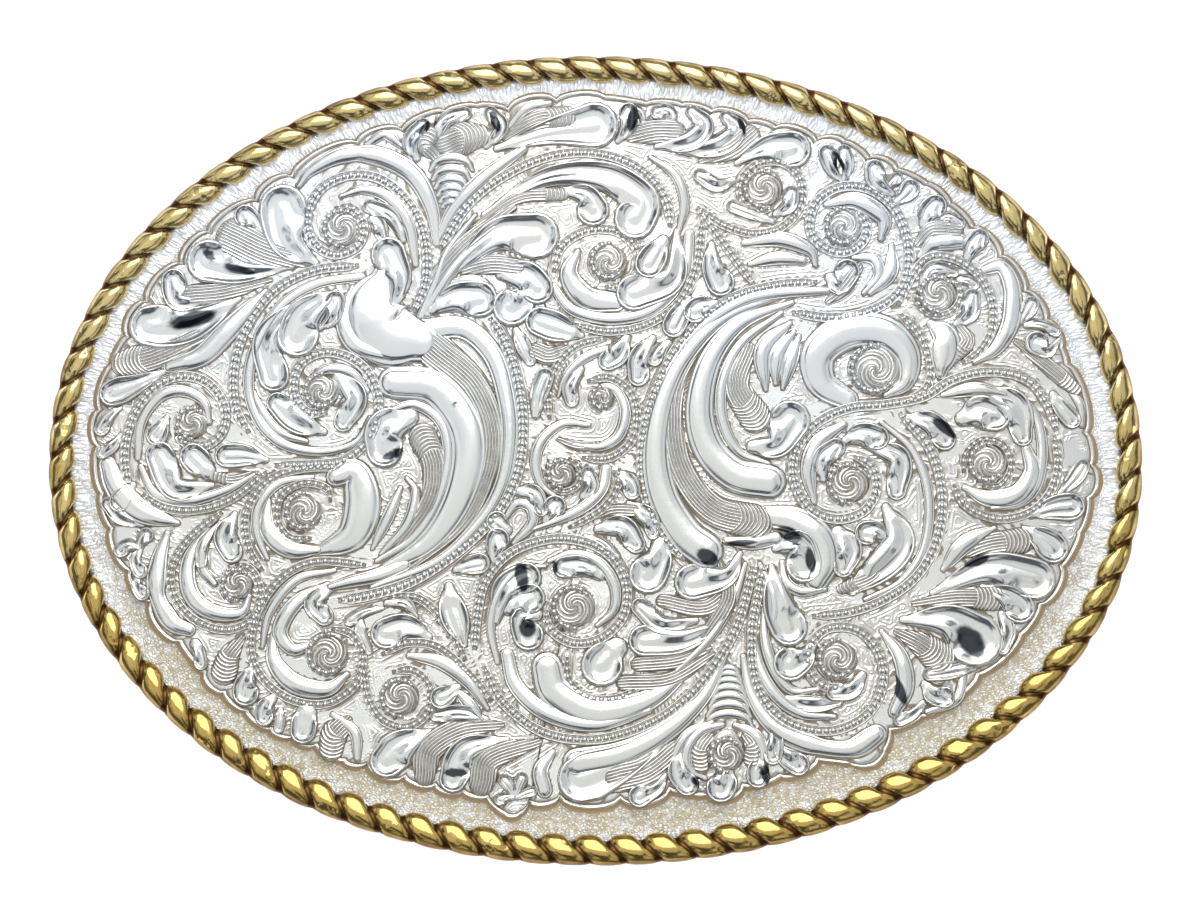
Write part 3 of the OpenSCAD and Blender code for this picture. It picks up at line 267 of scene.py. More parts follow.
# Scooped lobes: columns are width at the tail, middle and head, and points.
LOBES = [
  [0.6, 2.6, 4.0, [[-26.8, 18.6], [-29.4, 20.6], [-29.9, 23.8]]],
  [0.6, 1.4, 2.2, [[-32.2, 21.8], [-32.8, 22.6], [-33.5, 23.1]]],
  [0.3, 1.6, 3.4, [[-29, 18.2], [-33.8, 17.8], [-37, 18.8]]],
  [0.6, 1.6, 2.2, [[-37.6, 14.9], [-39.8, 15], [-40.3, 16.9]]],
  [0.4, 2.4, 3.6, [[-34, 15.2], [-38.6, 12.7], [-42.5, 12.6]]],
  [0.4, 1.4, 2.6, [[-41, 8.3], [-43.8, 7], [-46, 6.2]]],
  [0.3, 1.0, 1.4, [[-45.2, 4.8], [-46.3, 4], [-47, 2.8]]],
  [0.3, 1.0, 1.3, [[-45.2, 2.2], [-45.9, 1.2], [-46.9, 0.5]]],
  [0.4, 1.1, 1.6, [[-43, -6.4], [-45, -5.7], [-46.2, -4.4]]],
  [0.4, 2.0, 2.2, [[-36.4, -2.6], [-39.8, -2.9], [-41.4, 0.2]]],
  [1.2, 2.2, 2.0, [[-36.9, -1.2], [-37.6, -0.5], [-38.2, 0.1]]],
  [0.3, 1.6, 1.8, [[-31.2, -0.2], [-33.2, 0.2], [-35, 0.2]]],
  [0.4, 1.2, 1.8, [[-40.8, 3.8], [-41.2, 3], [-41.7, 2.2]]],
  [0.4, 1.1, 1.5, [[-43.2, -8.6], [-44.2, -8.3], [-45, -8.8]]],
  [0.4, 1.0, 1.3, [[-43.2, -8.6], [-43, -7.9], [-42.6, -7.4]]],
  [0.4, 1.2, 1.6, [[-43.2, -8.8], [-43.6, -9.8], [-43.1, -10.8]]],
  [0.8, 1.4, 1.6, [[-43.4, -11.6], [-43.4, -12.2], [-42.9, -12.9]]],
  [0.8, 1.3, 1.4, [[-37.8, -17.7], [-37.4, -18.6], [-37.2, -19.6]]],
  [0.4, 1.4, 2.5, [[-32.3, -19.8], [-32.9, -21.4], [-32.9, -22.4]]],
  [0.6, 1.4, 1.8, [[-30.3, -22.8], [-31, -23.8], [-31.1, -24.7]]],
  [0.4, 0.9, 1.0, [[-29.6, -24], [-29.6, -25], [-29.7, -25.7]]],
  [1.4, 2.4, 2.6, [[-27.1, -24.3], [-27.3, -25.2], [-27.4, -26]]],
  [0.4, 2.4, 3.4, [[-15.4, -26], [-17.8, -27.3], [-19.4, -28.8]]],
  [0.4, 1.9, 2.7, [[-8, -26.7], [-11.8, -27.7], [-13.1, -30.5]]],
  [0.8, 2.6, 4.2, [[7.6, -25.9], [3.2, -28.6], [-0.9, -30.4]]],
  [0.4, 1.3, 2.4, [[7, -30], [6.2, -31.2], [4.6, -32]]],
  [0.6, 1.7, 2.4, [[8.3, -27.8], [8.3, -29.6], [9.1, -30.8]]],
  [1.0, 2.6, 3.0, [[12.7, -29.6], [12.6, -30.4], [12.3, -31.1]]],
  [0.6, 1.8, 2.4, [[16.2, -28.2], [15.8, -29.4], [15.8, -30]]],
  [0.5, 1.5, 2.4, [[17.4, -26.8], [18.4, -28], [19.6, -28.8]]],
  [0.6, 1.4, 1.0, [[36.2, -19.2], [34, -19.6], [32, -20]]],
  [0.6, 1.8, 2.2, [[31.6, -21], [32.4, -21.9], [33.4, -22.2]]],
  [0.6, 1.2, 1.4, [[31.4, -22.8], [30.4, -23.8], [29.2, -24.4]]],
  [0.6, 2.3, 4.3, [[29.4, -14.9], [33.6, -14.9], [36.3, -16.7]]],
  [0.6, 1.3, 1.4, [[38.8, -14.2], [39.4, -15.8], [38.9, -17.4]]],
  [0.4, 1.6, 2.8, [[36.9, -11.6], [39.2, -12.5], [40.5, -13.6]]],
  [0.5, 2.1, 3.3, [[32.2, -12.3], [37.4, -9.9], [41.9, -10.8]]],
  [0.6, 1.8, 2.8, [[40.9, -6.1], [42.3, -6.8], [43.6, -7.8]]],
  [0.4, 1.7, 2.2, [[41.4, -4.7], [43.6, -4], [45.3, -3.8]]],
  [0.4, 1.2, 1.5, [[44.2, -2.6], [45.4, -1.3], [46.3, 0]]],
  [0.6, 1.3, 1.4, [[43.5, 6.8], [44.2, 5.7], [45.3, 4.5]]],
  [0.5, 1.1, 2.0, [[44, 12.1], [43, 11], [41.9, 11.7]]],
  [0.5, 1.0, 1.2, [[40.9, 13.4], [42.2, 13.5], [43.7, 12.9]]],
  [0.4, 1.2, 1.6, [[40.4, 13.8], [40.9, 14.6], [41.3, 15.4]]],
  [0.5, 1.6, 2.0, [[35.3, 19.8], [35.7, 20.9], [36.3, 21.6]]],
  [0.4, 0.9, 1.0, [[32.2, 22.9], [33.3, 23.6], [34.4, 23]]],
  [0.8, 1.8, 2.2, [[31.2, 22.9], [31.5, 23.9], [32.1, 24.6]]],
  [0.4, 1.2, 1.6, [[28.4, 24.9], [29.2, 25.6], [29.7, 26.2]]],
  [0.4, 0.9, 1.2, [[27.6, 26.2], [28, 26.8], [28.5, 27.2]]],
  [0.4, 1.4, 1.9, [[28, 25.7], [26.6, 26.9], [26.3, 28]]],
  [0.4, 1.0, 1.4, [[23.2, 26.9], [22.2, 28], [21.8, 29.5]]],
  [0.4, 1.0, 1.4, [[23.4, 27], [23.8, 28.2], [23.4, 29.6]]],
  [0.4, 1.8, 3.6, [[13.2, 28.4], [16, 29.8], [18.5, 29.8]]],
  [0.4, 1.7, 1.3, [[7.8, 29.4], [11.6, 30.1], [13.1, 31.6], [12.2, 32.8]]],
  [0.4, 1.7, 1.3, [[5.6, 29.9], [8.8, 30.5], [10, 32], [8.9, 33.3]]],
  [0.8, 1.4, 1.2, [[6.9, 32.2], [6.7, 33.3], [5.6, 33.2]]],
  [0.4, 1.2, 1.4, [[1.9, 30.4], [2.8, 31.8], [2.9, 33.2]]],
  [0.3, 0.8, 0.6, [[4.3, 32.2], [4, 33.2], [3.2, 33.7]]],
  [0.6, 1.8, 3.6, [[-9.6, 29.6], [-4.6, 31.2], [-0.3, 31.9]]],
  [0.5, 1.3, 1.4, [[-17.2, 28.6], [-17.9, 30.2], [-16.7, 31.8]]],
  [0.8, 1.5, 1.4, [[-15.3, 31], [-14.4, 32.4], [-12.7, 32.9]]],
  [0.4, 1.3, 1.2, [[-10.6, 29.8], [-9.3, 31.6], [-10.2, 33]]],
  [0.4, 2.1, 3.6, [[-13.6, 17.7], [-9.6, 21.3], [-5.8, 21.3]]],
  [0.4, 1.8, 3.2, [[-10.8, 23.3], [-5, 26.8], [0.6, 27], [4, 24.8], [3.6, 23]]],
  [0.6, 1.6, 2.6, [[-3.2, 25.6], [-1.2, 25.2], [-0.4, 23.8]]],
  [0.8, 2.2, 2.8, [[-15.6, 14.2], [-13.4, 15.3], [-11.1, 15.2]]],
  [0.8, 2.4, 2.4, [[-9, 17.6], [-6.9, 17.4], [-5.6, 16.3]]],
  [1.6, 2.6, 3.0, [[-6.6, 15.6], [-7.2, 15], [-8, 14.5]]],
  [0.4, 2.2, 2.2, [[-1.4, 11.8], [-3.8, 12.6], [-5.3, 13.1]]],
  [0.5, 1.2, 0.8, [[-7.6, 12.3], [-7, 11], [-6.2, 9.4]]],
  [0.4, 1.2, 1.1, [[-18.4, 20.8], [-19.5, 23], [-21.6, 24]]],
  [0.5, 1.4, 0.8, [[-21.4, 22.8], [-20.8, 22.2], [-20.4, 21.2]]],
  [0.5, 1.6, 2.8, [[-19.3, 14.2], [-18.6, 17], [-19.8, 19.4]]],
  [1.2, 3.0, 2.6, [[-17.6, 3.9], [-19.8, 2.8], [-20, 0.8]]],
  [0.8, 2.0, 1.4, [[-24.5, 7.8], [-22.9, 5.8], [-23.9, 3.4]]],
  [0.4, 1.8, 2.4, [[-27.8, 15.2], [-31.3, 11.6], [-30.6, 7.8]]],
  [0.5, 2.4, 3.2, [[-24.8, 15.8], [-27.6, 13.7], [-28.4, 11.6]]],
  [0.5, 2.0, 1.6, [[-25.8, 2.5], [-28.2, 3.5], [-30.2, 5.2]]],
  [0.4, 1.8, 1.6, [[-34.2, -5.4], [-35, -7.4], [-34.4, -9]]],
  [0.3, 0.9, 0.9, [[-36, -6.6], [-37.2, -8.4], [-37.3, -10]]],
  [0.6, 1.6, 1.4, [[-25, -12.4], [-26.5, -13.8], [-25.5, -15.1]]],
  [1.0, 2.2, 3.2, [[15, 1.4], [17.2, 1.6], [18.5, 3.9]]],
  [0.5, 2.2, 2.8, [[17.3, -8.3], [19.4, -7.8], [20, -9.8]]],
  [0.5, 1.6, 1.4, [[21.8, -1.6], [21.6, 0.2], [22.9, 1.4]]],
  [0.5, 1.8, 1.8, [[23.8, 2.1], [25.2, 2.7], [26.8, 2.4]]],
  [0.5, 1.9, 1.4, [[26.2, 1.5], [28.8, 0.5], [28.7, -2.6]]],
  [0.6, 2.6, 0.6, [[27.7, -4.2], [28.9, -7.8], [24.6, -12.2]]],
  [1.2, 2.1, 1.4, [[23.2, -6.8], [24.2, -8.2], [23.7, -10]]],
  [0.8, 1.4, 2.0, [[27.6, -7.2], [26.8, -6.5], [25.9, -6.7]]],
  [0.4, 1.8, 2.8, [[13.9, -8.8], [12.6, -11], [9.4, -11.6]]],
  [1.2, 2.4, 3.0, [[6.3, -8], [6.1, -9.4], [5.2, -10.9]]],
  [0.4, 1.4, 1.4, [[9.8, -15.2], [6.6, -15.7], [4.5, -14]]],
  [0.4, 1.8, 2.4, [[12.4, -15.4], [8.6, -17.1], [4.9, -17.2]]],
  [1.4, 2.8, 3.2, [[2.3, -17.9], [1.6, -18.6], [0.9, -19.6]]],
  [0.4, 2.2, 2.8, [[16.9, -10], [17.6, -13.6], [18.6, -15.8]]],
  [0.6, 2.0, 2.8, [[20.8, -17.6], [20, -18.6], [18.8, -19.2]]],
  [0.6, 1.4, 0.6, [[18.4, -22.6], [20.8, -23], [23.4, -22.8]]],
  [0.6, 1.8, 2.4, [[-9.2, -15.4], [-8.4, -12.4], [-6.4, -11.3]]],
  [1.0, 2.0, 2.4, [[-8, -14.2], [-7, -13.5], [-6, -13.3]]],
  [0.8, 1.8, 2.4, [[-5.3, -14.8], [-6.7, -15.2], [-6.1, -16.8]]],
  [0.8, 1.6, 1.6, [[0.6, -11], [-1, -10.2], [-2.8, -10.3]]],
  [0.5, 2.0, 2.8, [[7.6, 21.8], [7.2, 17.4], [3.6, 15.9]]],
  [0.8, 2.0, 2.2, [[6.3, 20.9], [5.7, 19.9], [5, 18.7]]],
  [0.5, 1.2, 1.0, [[12.9, 26.8], [11.4, 26.3], [9.7, 27.2]]],
  [0.5, 1.0, 1.0, [[16.6, 22.9], [14.8, 23.6], [12.9, 24.3]]],
  [0.5, 1.2, 1.2, [[17, 23.6], [18.2, 24.4], [18.4, 25.6]]],
  [0.5, 1.6, 2.2, [[10.9, 20.6], [11, 18.6], [11.8, 17]]],
  [0.4, 1.6, 1.8, [[11.4, 15], [9.9, 14.6], [9.4, 14.2]]],
  [0.4, 1.6, 1.8, [[8.8, 15.4], [8, 14], [7.4, 12.8]]],
  [0.5, 1.8, 1.4, [[2.9, 11.6], [2, 10], [1.2, 9.4]]],
  [0.5, 1.6, 1.6, [[5.4, 11.6], [4.2, 9.8], [4.1, 8]]],
  [0.4, 1.2, 1.0, [[6.9, 11.2], [6.2, 10.6], [5.6, 9.6]]],
  [0.5, 1.2, 1.0, [[-1.4, 8.6], [-2.4, 7], [-2.2, 5.6]]],
  [0.6, 1.2, 1.1, [[-1, -3.5], [-0.2, -2.6], [-0.6, -1.4]]],
  [0.6, 1.4, 1.8, [[-4.4, -6], [-4.2, -5], [-3.7, -4.5]]],
  [0.6, 1.5, 1.0, [[-7.2, -3.1], [-5.8, -3.3], [-5, -4.8]]],
  [0.6, 1.4, 1.7, [[-8.2, -6.8], [-8.7, -6.4], [-9.2, -6]]],
  [0.6, 1.4, 1.9, [[-9.4, -9.6], [-9.4, -8.6], [-9.1, -7.7]]],
  [0.5, 1.4, 1.6, [[-13, -10.6], [-11.8, -10.2], [-10.8, -10]]],
  [0.6, 1.5, 1.2, [[2.4, -1.4], [3.3, -2.2], [3.6, -3]]],
  [0.6, 1.8, 1.4, [[0.4, -6.6], [2.6, -6.4], [4, -8]]],
  [0.5, 1.6, 0.8, [[3.4, -4.2], [5.2, -5.6], [5.6, -7]]],
  [0.6, 2.2, 0.4, [[-13.7, -12.2], [-13.4, -14.2], [-12.2, -17.6]]],
  [0.6, 2.0, 2.4, [[-15.6, -17], [-17.6, -16.1], [-19.6, -16.7]]],
  [0.4, 1.1, 0.4, [[-19.6, -13.8], [-17.9, -13.8], [-16.8, -15]]],
  [0.5, 1.4, 1.8, [[-12.8, -21.8], [-13.6, -22.4], [-14.3, -22.8]]],
  [0.4, 1.4, 0.8, [[-10, -24.8], [-12.4, -24.3], [-14.8, -24.5]]],
  [0.5, 1.8, 1.7, [[29.6, 4.4], [31.8, 3.9], [33.2, 2.4]]],
  [1.0, 2.6, 2.2, [[34.9, 4.4], [36.4, 5], [38, 4.7]]],
  [1.0, 2.4, 1.4, [[37.2, 6.9], [39.8, 5.6], [40.6, 2.8]]],
  [0.4, 1.4, 1.2, [[34.2, 13.4], [35.5, 14.4], [35.7, 16]]],
  [0.5, 1.3, 0.6, [[30.9, 16.9], [31.9, 18.6], [34, 18.3]]],
  [0.4, 0.9, 0.8, [[34.4, 17.6], [35.2, 17.6], [35.9, 17.2]]],
  [0.8, 1.6, 2.0, [[22.2, 17.6], [23, 16.8], [23.8, 18.2]]],
  [0.6, 1.3, 1.4, [[17.2, -25.2], [17.4, -26.6], [17.2, -28]]],
  [0.6, 1.4, 1.2, [[25.6, -20.2], [24.6, -21.6], [23, -21.9]]],
  [0.3, 0.9, 1.0, [[-7.2, -32], [-7.7, -31.2], [-8.2, -30.6]]],
  [0.3, 0.9, 1.0, [[-7.1, -32], [-6.9, -31.2], [-6.6, -30.4]]],
  [0.3, 0.9, 1.0, [[-7, -32.2], [-6.2, -31.8], [-5.6, -31.6]]],
  [0.3, 0.9, 1.2, [[-7.4, -32.2], [-8, -32.2], [-8.6, -32.4]]],
  [0.5, 1.4, 1.6, [[-44, -2.6], [-44.6, -3.4], [-45.2, -4.2]]],
  [0.6, 1.4, 1.4, [[-5.6, 4.2], [-5.4, 6], [-4.8, 7.8]]],
  [0.4, 1.2, 1.6, [[-26.2, 12.4], [-25, 13.4], [-24.8, 15]]],
  [0.3, 0.8, 0.9, [[-20, -14.3], [-21.6, -14.6], [-23.1, -15.5]]],
  [0.8, 0.9, 0.5, [[-22.2, -15.6], [-21.9, -16.9], [-21.2, -18.4]]],
  [0.3, 0.8, 0.6, [[-0.8, -7.3], [0.8, -7.9], [2.2, -9.2]]]
]

# Hatched leaves: the same columns.
LEAVES = [
  [0.4, 0.9, 1.1, [[0.2, -5.4], [1.8, -4.8], [3.8, -4.8]]],
  [0.4, 2.2, 3.4, [[-27.5, 18.5], [-31.4, 19.6], [-34.2, 20.9]]],
  [0.3, 1.4, 1.6, [[-31, 17], [-35.4, 15.9], [-38.4, 15.6]]],
  [0.4, 1.5, 2.6, [[-34, 13.6], [-41, 10.2], [-44.9, 9]]],
  [0.3, 0.9, 0.7, [[-32.2, -1.4], [-34.4, -2], [-36.4, -1.7]]],
  [0.4, 1.6, 2.0, [[-33.3, -17.2], [-34.5, -18.8], [-35, -20.4]]],
  [0.6, 2.2, 2.4, [[-23.2, -25], [-24.4, -26.3], [-24.7, -27.7]]],
  [0.5, 1.9, 1.9, [[-8.6, -25.3], [-12.4, -25.8], [-15.4, -27.7], [-15.8, -30.2]]],
  [0.5, 1.8, 2.4, [[-5, -26.9], [-9.6, -28.5], [-10.4, -30.9]]],
  [0.6, 2.2, 2.3, [[8.4, -26.8], [5.4, -29.3], [2.6, -30.2]]],
  [0.4, 1.8, 2.5, [[28.8, -16], [31.2, -17.2], [33, -18.6]]],
  [0.4, 1.3, 1.9, [[30.4, -13.3], [34.4, -12.7], [38, -12.7]]],
  [0.4, 1.5, 2.0, [[34.6, -8.8], [37.4, -7.6], [40.6, -7.1]]],
  [0.5, 1.2, 1.2, [[40, 11.8], [42.4, 10], [45.6, 7.4]]],
  [0.4, 1.4, 1.3, [[30.4, 21], [31.8, 22.4], [34, 22.4]]],
  [0.4, 1.4, 1.9, [[9.8, 28.6], [12.6, 29.6], [14.4, 31.1]]],
  [0.8, 2.0, 1.4, [[3.2, 30.9], [5.4, 31.4], [7.4, 31.4]]],
  [0.5, 1.5, 1.8, [[-8.8, 30.7], [-5.8, 32.3], [-3.1, 32.6]]],
  [1.4, 2.6, 1.6, [[-14.4, 30], [-12.8, 30.6], [-11.3, 30.8]]],
  [0.6, 1.5, 1.1, [[-15.4, 28.8], [-16.3, 29.8], [-15.9, 31]]],
  [0.4, 1.0, 1.0, [[-11.6, 22.2], [-7.6, 24.9], [-3.3, 25.3]]],
  [0.4, 1.5, 1.3, [[-12.6, 17.9], [-10, 18.5], [-7.6, 18.3]]],
  [0.5, 1.5, 1.3, [[-2.8, 10.5], [-4.4, 9.9], [-5.6, 10.3]]],
  [0.4, 1.2, 2.8, [[-18, -10.9], [-12.6, -6.6], [-10.2, -2], [-9.7, 2.6], [-11.5, 7],
        [-15.3, 10.3]]],
  [0.4, 1.5, 2.2, [[-18.8, -8.6], [-15.8, -4.4], [-15.2, -0.8], [-16.3, 2]]],
  [0.3, 0.8, 0.4, [[-3.4, 1.9], [-1.4, 1.3], [1.4, 1.5]]],
  [0.5, 1.6, 2.6, [[10.6, 12.4], [8, 7.6], [7.5, 3.2], [8.4, -1], [11.2, -4.6], [15.4, -5.8]]],
  [0.8, 1.9, 2.4, [[14.6, 10.8], [13.5, 7.2], [15.2, 4.2]]],
  [0.5, 1.4, 1.0, [[14, -11], [10.8, -13.9], [6.6, -13.4]]],
  [0.5, 1.2, 1.2, [[11, -17.8], [8, -19], [4.4, -19.4]]],
  [0.4, 1.2, 1.2, [[11.4, -18.4], [7.4, -20.8], [3, -21.2]]],
  [0.4, 1.2, 0.8, [[27.2, -8.6], [26.6, -10.6], [23.6, -12]]],
  [0.5, 1.2, 0.6, [[34.5, 13.2], [35.3, 11.8], [34, 10]]],
  [0.5, 1.4, 1.2, [[11.2, -26.2], [10.4, -27.4], [10.4, -29]]],
  [0.5, 1.2, 1.2, [[14.6, -26.2], [15.2, -27.2], [15.2, -28.4]]],
  [0.4, 1.3, 0.6, [[-17.6, 14], [-13, 20], [-8, 24]]],
  [0.4, 1.2, 0.8, [[22, 15.4], [23.4, 16.6], [24.8, 18.6]]],
  [0.4, 1.4, 0.8, [[12, -9.6], [12.8, -13], [10.6, -16.8]]]
]

# Stacks of short arcs. Columns: x and y of the widest arc's crest, step to the next, half of its
# width, how many, and 1 where they step down or -1 where they step up.
CHEVRONS = [
  [-13.9, 28.7, 1.1, 2.0, 6, 1],
  [13.0, -24.0, 0.95, 2.3, 7, -1],
]


# Shapes in the plane of the face, in millimetres

# Points along a stroke stand this far apart, and each end has this many steps round it.
STROKE_SPACING = 0.28
END_STEPS = 8
# The largest share of a bend's radius that a stroke reaches on the inner side, and how far fuller
# strokes stay from the medallion's edge.
BEND_SHARE = 0.88
EDGE_MARGIN = 0.5
LEAST_WIDTH = 0.15
# Each stretch of a curve is cut into this many steps before its points are spread evenly.
CURVE_STEPS = 16


def shape():
    """The group of the buckle's sizes."""
    return bpy.context.scene.buckle_shape


def smooth(x, low, high):
    """0 below low, 1 above high, and an S-shaped rise between them."""
    t = np.clip((x - low) / (high - low), 0, 1)
    return t * t * (3 - 2 * t)


def run_along(line):
    """How far along a line each of its points is."""
    return np.append(0, np.cumsum(np.linalg.norm(np.diff(line, axis=0), axis=1)))


def curve_points(points, spacing):
    """Points at an even spacing on a smooth curve through a row's points, and how far along they are.
    Each stretch is a cubic that heads, at both ends, along the line between the neighbouring points."""
    given = np.array(points, float)
    longer = np.vstack([2 * given[0] - given[1], given, 2 * given[-1] - given[-2]])
    a, b, c, d = (longer[i : len(longer) - 3 + i, None, :] for i in range(4))
    t = np.linspace(0, 1, CURVE_STEPS + 1)[None, :-1, None]
    cubic = 2 * b + (c - a) * t + (2 * a - 5 * b + 4 * c - d) * t**2 + (3 * b - a - 3 * c + d) * t**3
    dense = np.vstack([0.5 * cubic.reshape(-1, 2), given[-1]])
    run = run_along(dense)
    even = np.linspace(0, run[-1], max(6, round(run[-1] / spacing) + 1))
    return np.stack([np.interp(even, run, dense[:, i]) for i in range(2)], axis=1), even


def directions(line):
    """Unit directions along a line, and to its left."""
    ahead = np.gradient(line, axis=0)
    ahead /= np.linalg.norm(ahead, axis=1)[:, None]
    return ahead, np.stack([-ahead[:, 1], ahead[:, 0]], axis=1)


def row_width(widths, t):
    """Width that runs on a parabola through its values at the start, middle and end."""
    start, middle, end = widths
    width = start * (2 * t - 1) * (t - 1) + middle * 4 * t * (1 - t) + end * t * (2 * t - 1)
    return np.maximum(width, LEAST_WIDTH)


def half_widths(line, widths, share):
    """Half of a stroke's width along its line, made fuller where the medallion's edge leaves room."""
    half = row_width(widths, share) / 2
    gaps = np.linalg.norm(line[:, None] - medallion_edge(4)[None], axis=2)
    return np.minimum(half * shape().fullness, np.maximum(gaps.min(axis=1) - EDGE_MARGIN, half))


def stroke_columns(points, widths, spacing=STROKE_SPACING):
    """The columns round a stroke: up its left side, round the head, down its right side and round the
    tail. Each starts on the middle line and reaches out by half the width, or on the inner side of
    a bend by no more than a share of the bend's radius, so that columns never cross."""
    line, run = curve_points(points, spacing)
    ahead, left = directions(line)
    share = run / run[-1]
    half = half_widths(line, widths, share)
    heading = np.unwrap(np.arctan2(ahead[:, 1], ahead[:, 0]))
    bend = np.gradient(heading, run)
    room = BEND_SHARE / np.maximum(np.abs(bend), 1e-6)
    sides = [np.where(sign * bend > 0, np.minimum(half, room), half) for sign in (1, -1)]
    for _ in range(4):
        sides = [np.convolve(np.pad(side, 1, mode="edge"), [0.25, 0.5, 0.25], "valid") for side in sides]
    angle = np.linspace(0, math.pi, END_STEPS + 1)[1:-1]
    cos, sin = np.cos(angle)[:, None], np.sin(angle)[:, None]
    blend = (1 - np.cos(angle)) / 2
    head_reach = sides[0][-1] * (1 - blend) + sides[1][-1] * blend
    tail_reach = sides[1][0] * (1 - blend) + sides[0][0] * blend
    head_out = left[-1] * cos + ahead[-1] * sin
    tail_out = -left[0] * cos - ahead[0] * sin
    one, none = np.ones(len(angle)), np.zeros(len(angle))
    return {
        "base": np.vstack([line, line[-1] * one[:, None], line[::-1], line[0] * one[:, None]]),
        "out": np.vstack([left, head_out, -left[::-1], tail_out]),
        "reach": np.concatenate([sides[0], head_reach, sides[1][::-1], tail_reach]),
        "side": np.concatenate([np.ones(len(line)), cos[:, 0], -np.ones(len(line)), -cos[:, 0]]),
        "past": np.concatenate([0 * run, sin[:, 0], 0 * run, -sin[:, 0]]),
        "run": np.concatenate([run - run[-1], none, (run - run[-1])[::-1], -run[-1] * one]),
        "share": np.concatenate([share, one, share[::-1], none]),
        "turn": heading[-1] - heading[0],
    }


def oval(angle, inset):
    """Points of the buckle's oval with its edge moved in: half sizes times powers of cosine and sine."""
    half = np.array([ROPE_HIGH.x - ROPE_LOW.x, ROPE_HIGH.y - ROPE_LOW.y]) / 2 / MM - inset
    unit = np.stack([np.cos(angle), np.sin(angle)], axis=-1)
    return half * np.sign(unit) * np.abs(unit) ** (2 / shape().squareness)


def even_oval(count, inset):
    """Points at an even spacing round the oval, and its length."""
    angle = np.linspace(0, 2 * math.pi, 2881)
    run = run_along(oval(angle, inset))
    even = np.linspace(0, run[-1], count + 1)[:-1]
    return oval(np.interp(even, run, angle), inset), run[-1]


def medallion_edge(steps=12):
    """The scalloped edge, anticlockwise: between two notches, a lobe as high as its bulge."""
    rows = np.array(SCALLOPS)[::-1]
    start, across = rows[:, None, :2], (np.roll(rows, -1, axis=0) - rows)[:, None, :2]
    bulge = np.roll(rows[:, 2], -1)[:, None, None]
    t = (np.arange(steps) / steps)[None, :, None]
    out = np.stack([across[..., 1], -across[..., 0]], axis=-1) / np.linalg.norm(across, axis=-1)[..., None]
    return (start + across * t + out * bulge * (1 - (2 * t - 1) ** 2) ** 0.6).reshape(-1, 2)


def noise(u, v, period, seed):
    """Smooth seeded noise from -1 to 1 over two coordinates, which repeats in u after period."""
    rows = 64
    table = np.random.default_rng(seed).uniform(-1, 1, (period, rows))
    cell_u, cell_v = np.floor(u).astype(int), np.floor(v).astype(int)
    part_u, part_v = smooth(u - cell_u, 0, 1), smooth(v - cell_v, 0, 1)

    def across(at_v):
        first, second = (table[at_u % period, at_v % rows] for at_u in (cell_u, cell_u + 1))
        return first * (1 - part_u) + second * part_u

    return across(cell_v) * (1 - part_v) + across(cell_v + 1) * part_v


# The bent plate


def ledge_height():
    """Height of the ledge's middle over the floor, from the rope's highest place down."""
    return (ROPE_HIGH.z - shape().rope_thickness - shape().rope_gap) / MM


def on_plate(xy, height):
    """Points in metres at a height in millimetres over the ledge, on the plate's bend: a circle over
    the waist whose top is the ledge's middle."""
    radius = shape().bend_radius / MM
    sag = radius - np.sqrt(radius**2 - xy[..., 0] ** 2)
    z = ledge_height() - sag + height
    return np.concatenate([xy, z[..., None]], axis=-1) * MM


def on_medallion(xy, height):
    """Points in metres at a height in millimetres over the medallion."""
    return on_plate(xy, shape().medallion_step / MM + height)


# Meshes


def grid_faces(rows, columns, wrap_rows=False, wrap_columns=True):
    """Faces of a grid of rows times columns points, closed across its ends where it wraps."""
    r = np.arange(rows if wrap_rows else rows - 1)
    c = np.arange(columns if wrap_columns else columns - 1)
    r0, c0 = (g.ravel() for g in np.meshgrid(r, c, indexing="ij"))
    r1, c1 = (r0 + 1) % rows, (c0 + 1) % columns
    return np.stack([r0 * columns + c0, r0 * columns + c1, r1 * columns + c1, r1 * columns + c0], axis=1)


def facing_up(points, faces):
    """A grid's faces, turned over if they look down, from the sum of their areas seen from above."""
    x, y = np.moveaxis(points.reshape(-1, 3)[faces][..., :2], -1, 0)
    area = np.sum(x * np.roll(y, -1, axis=1) - y * np.roll(x, -1, axis=1))
    return faces[:, ::-1] if area < 0 else faces


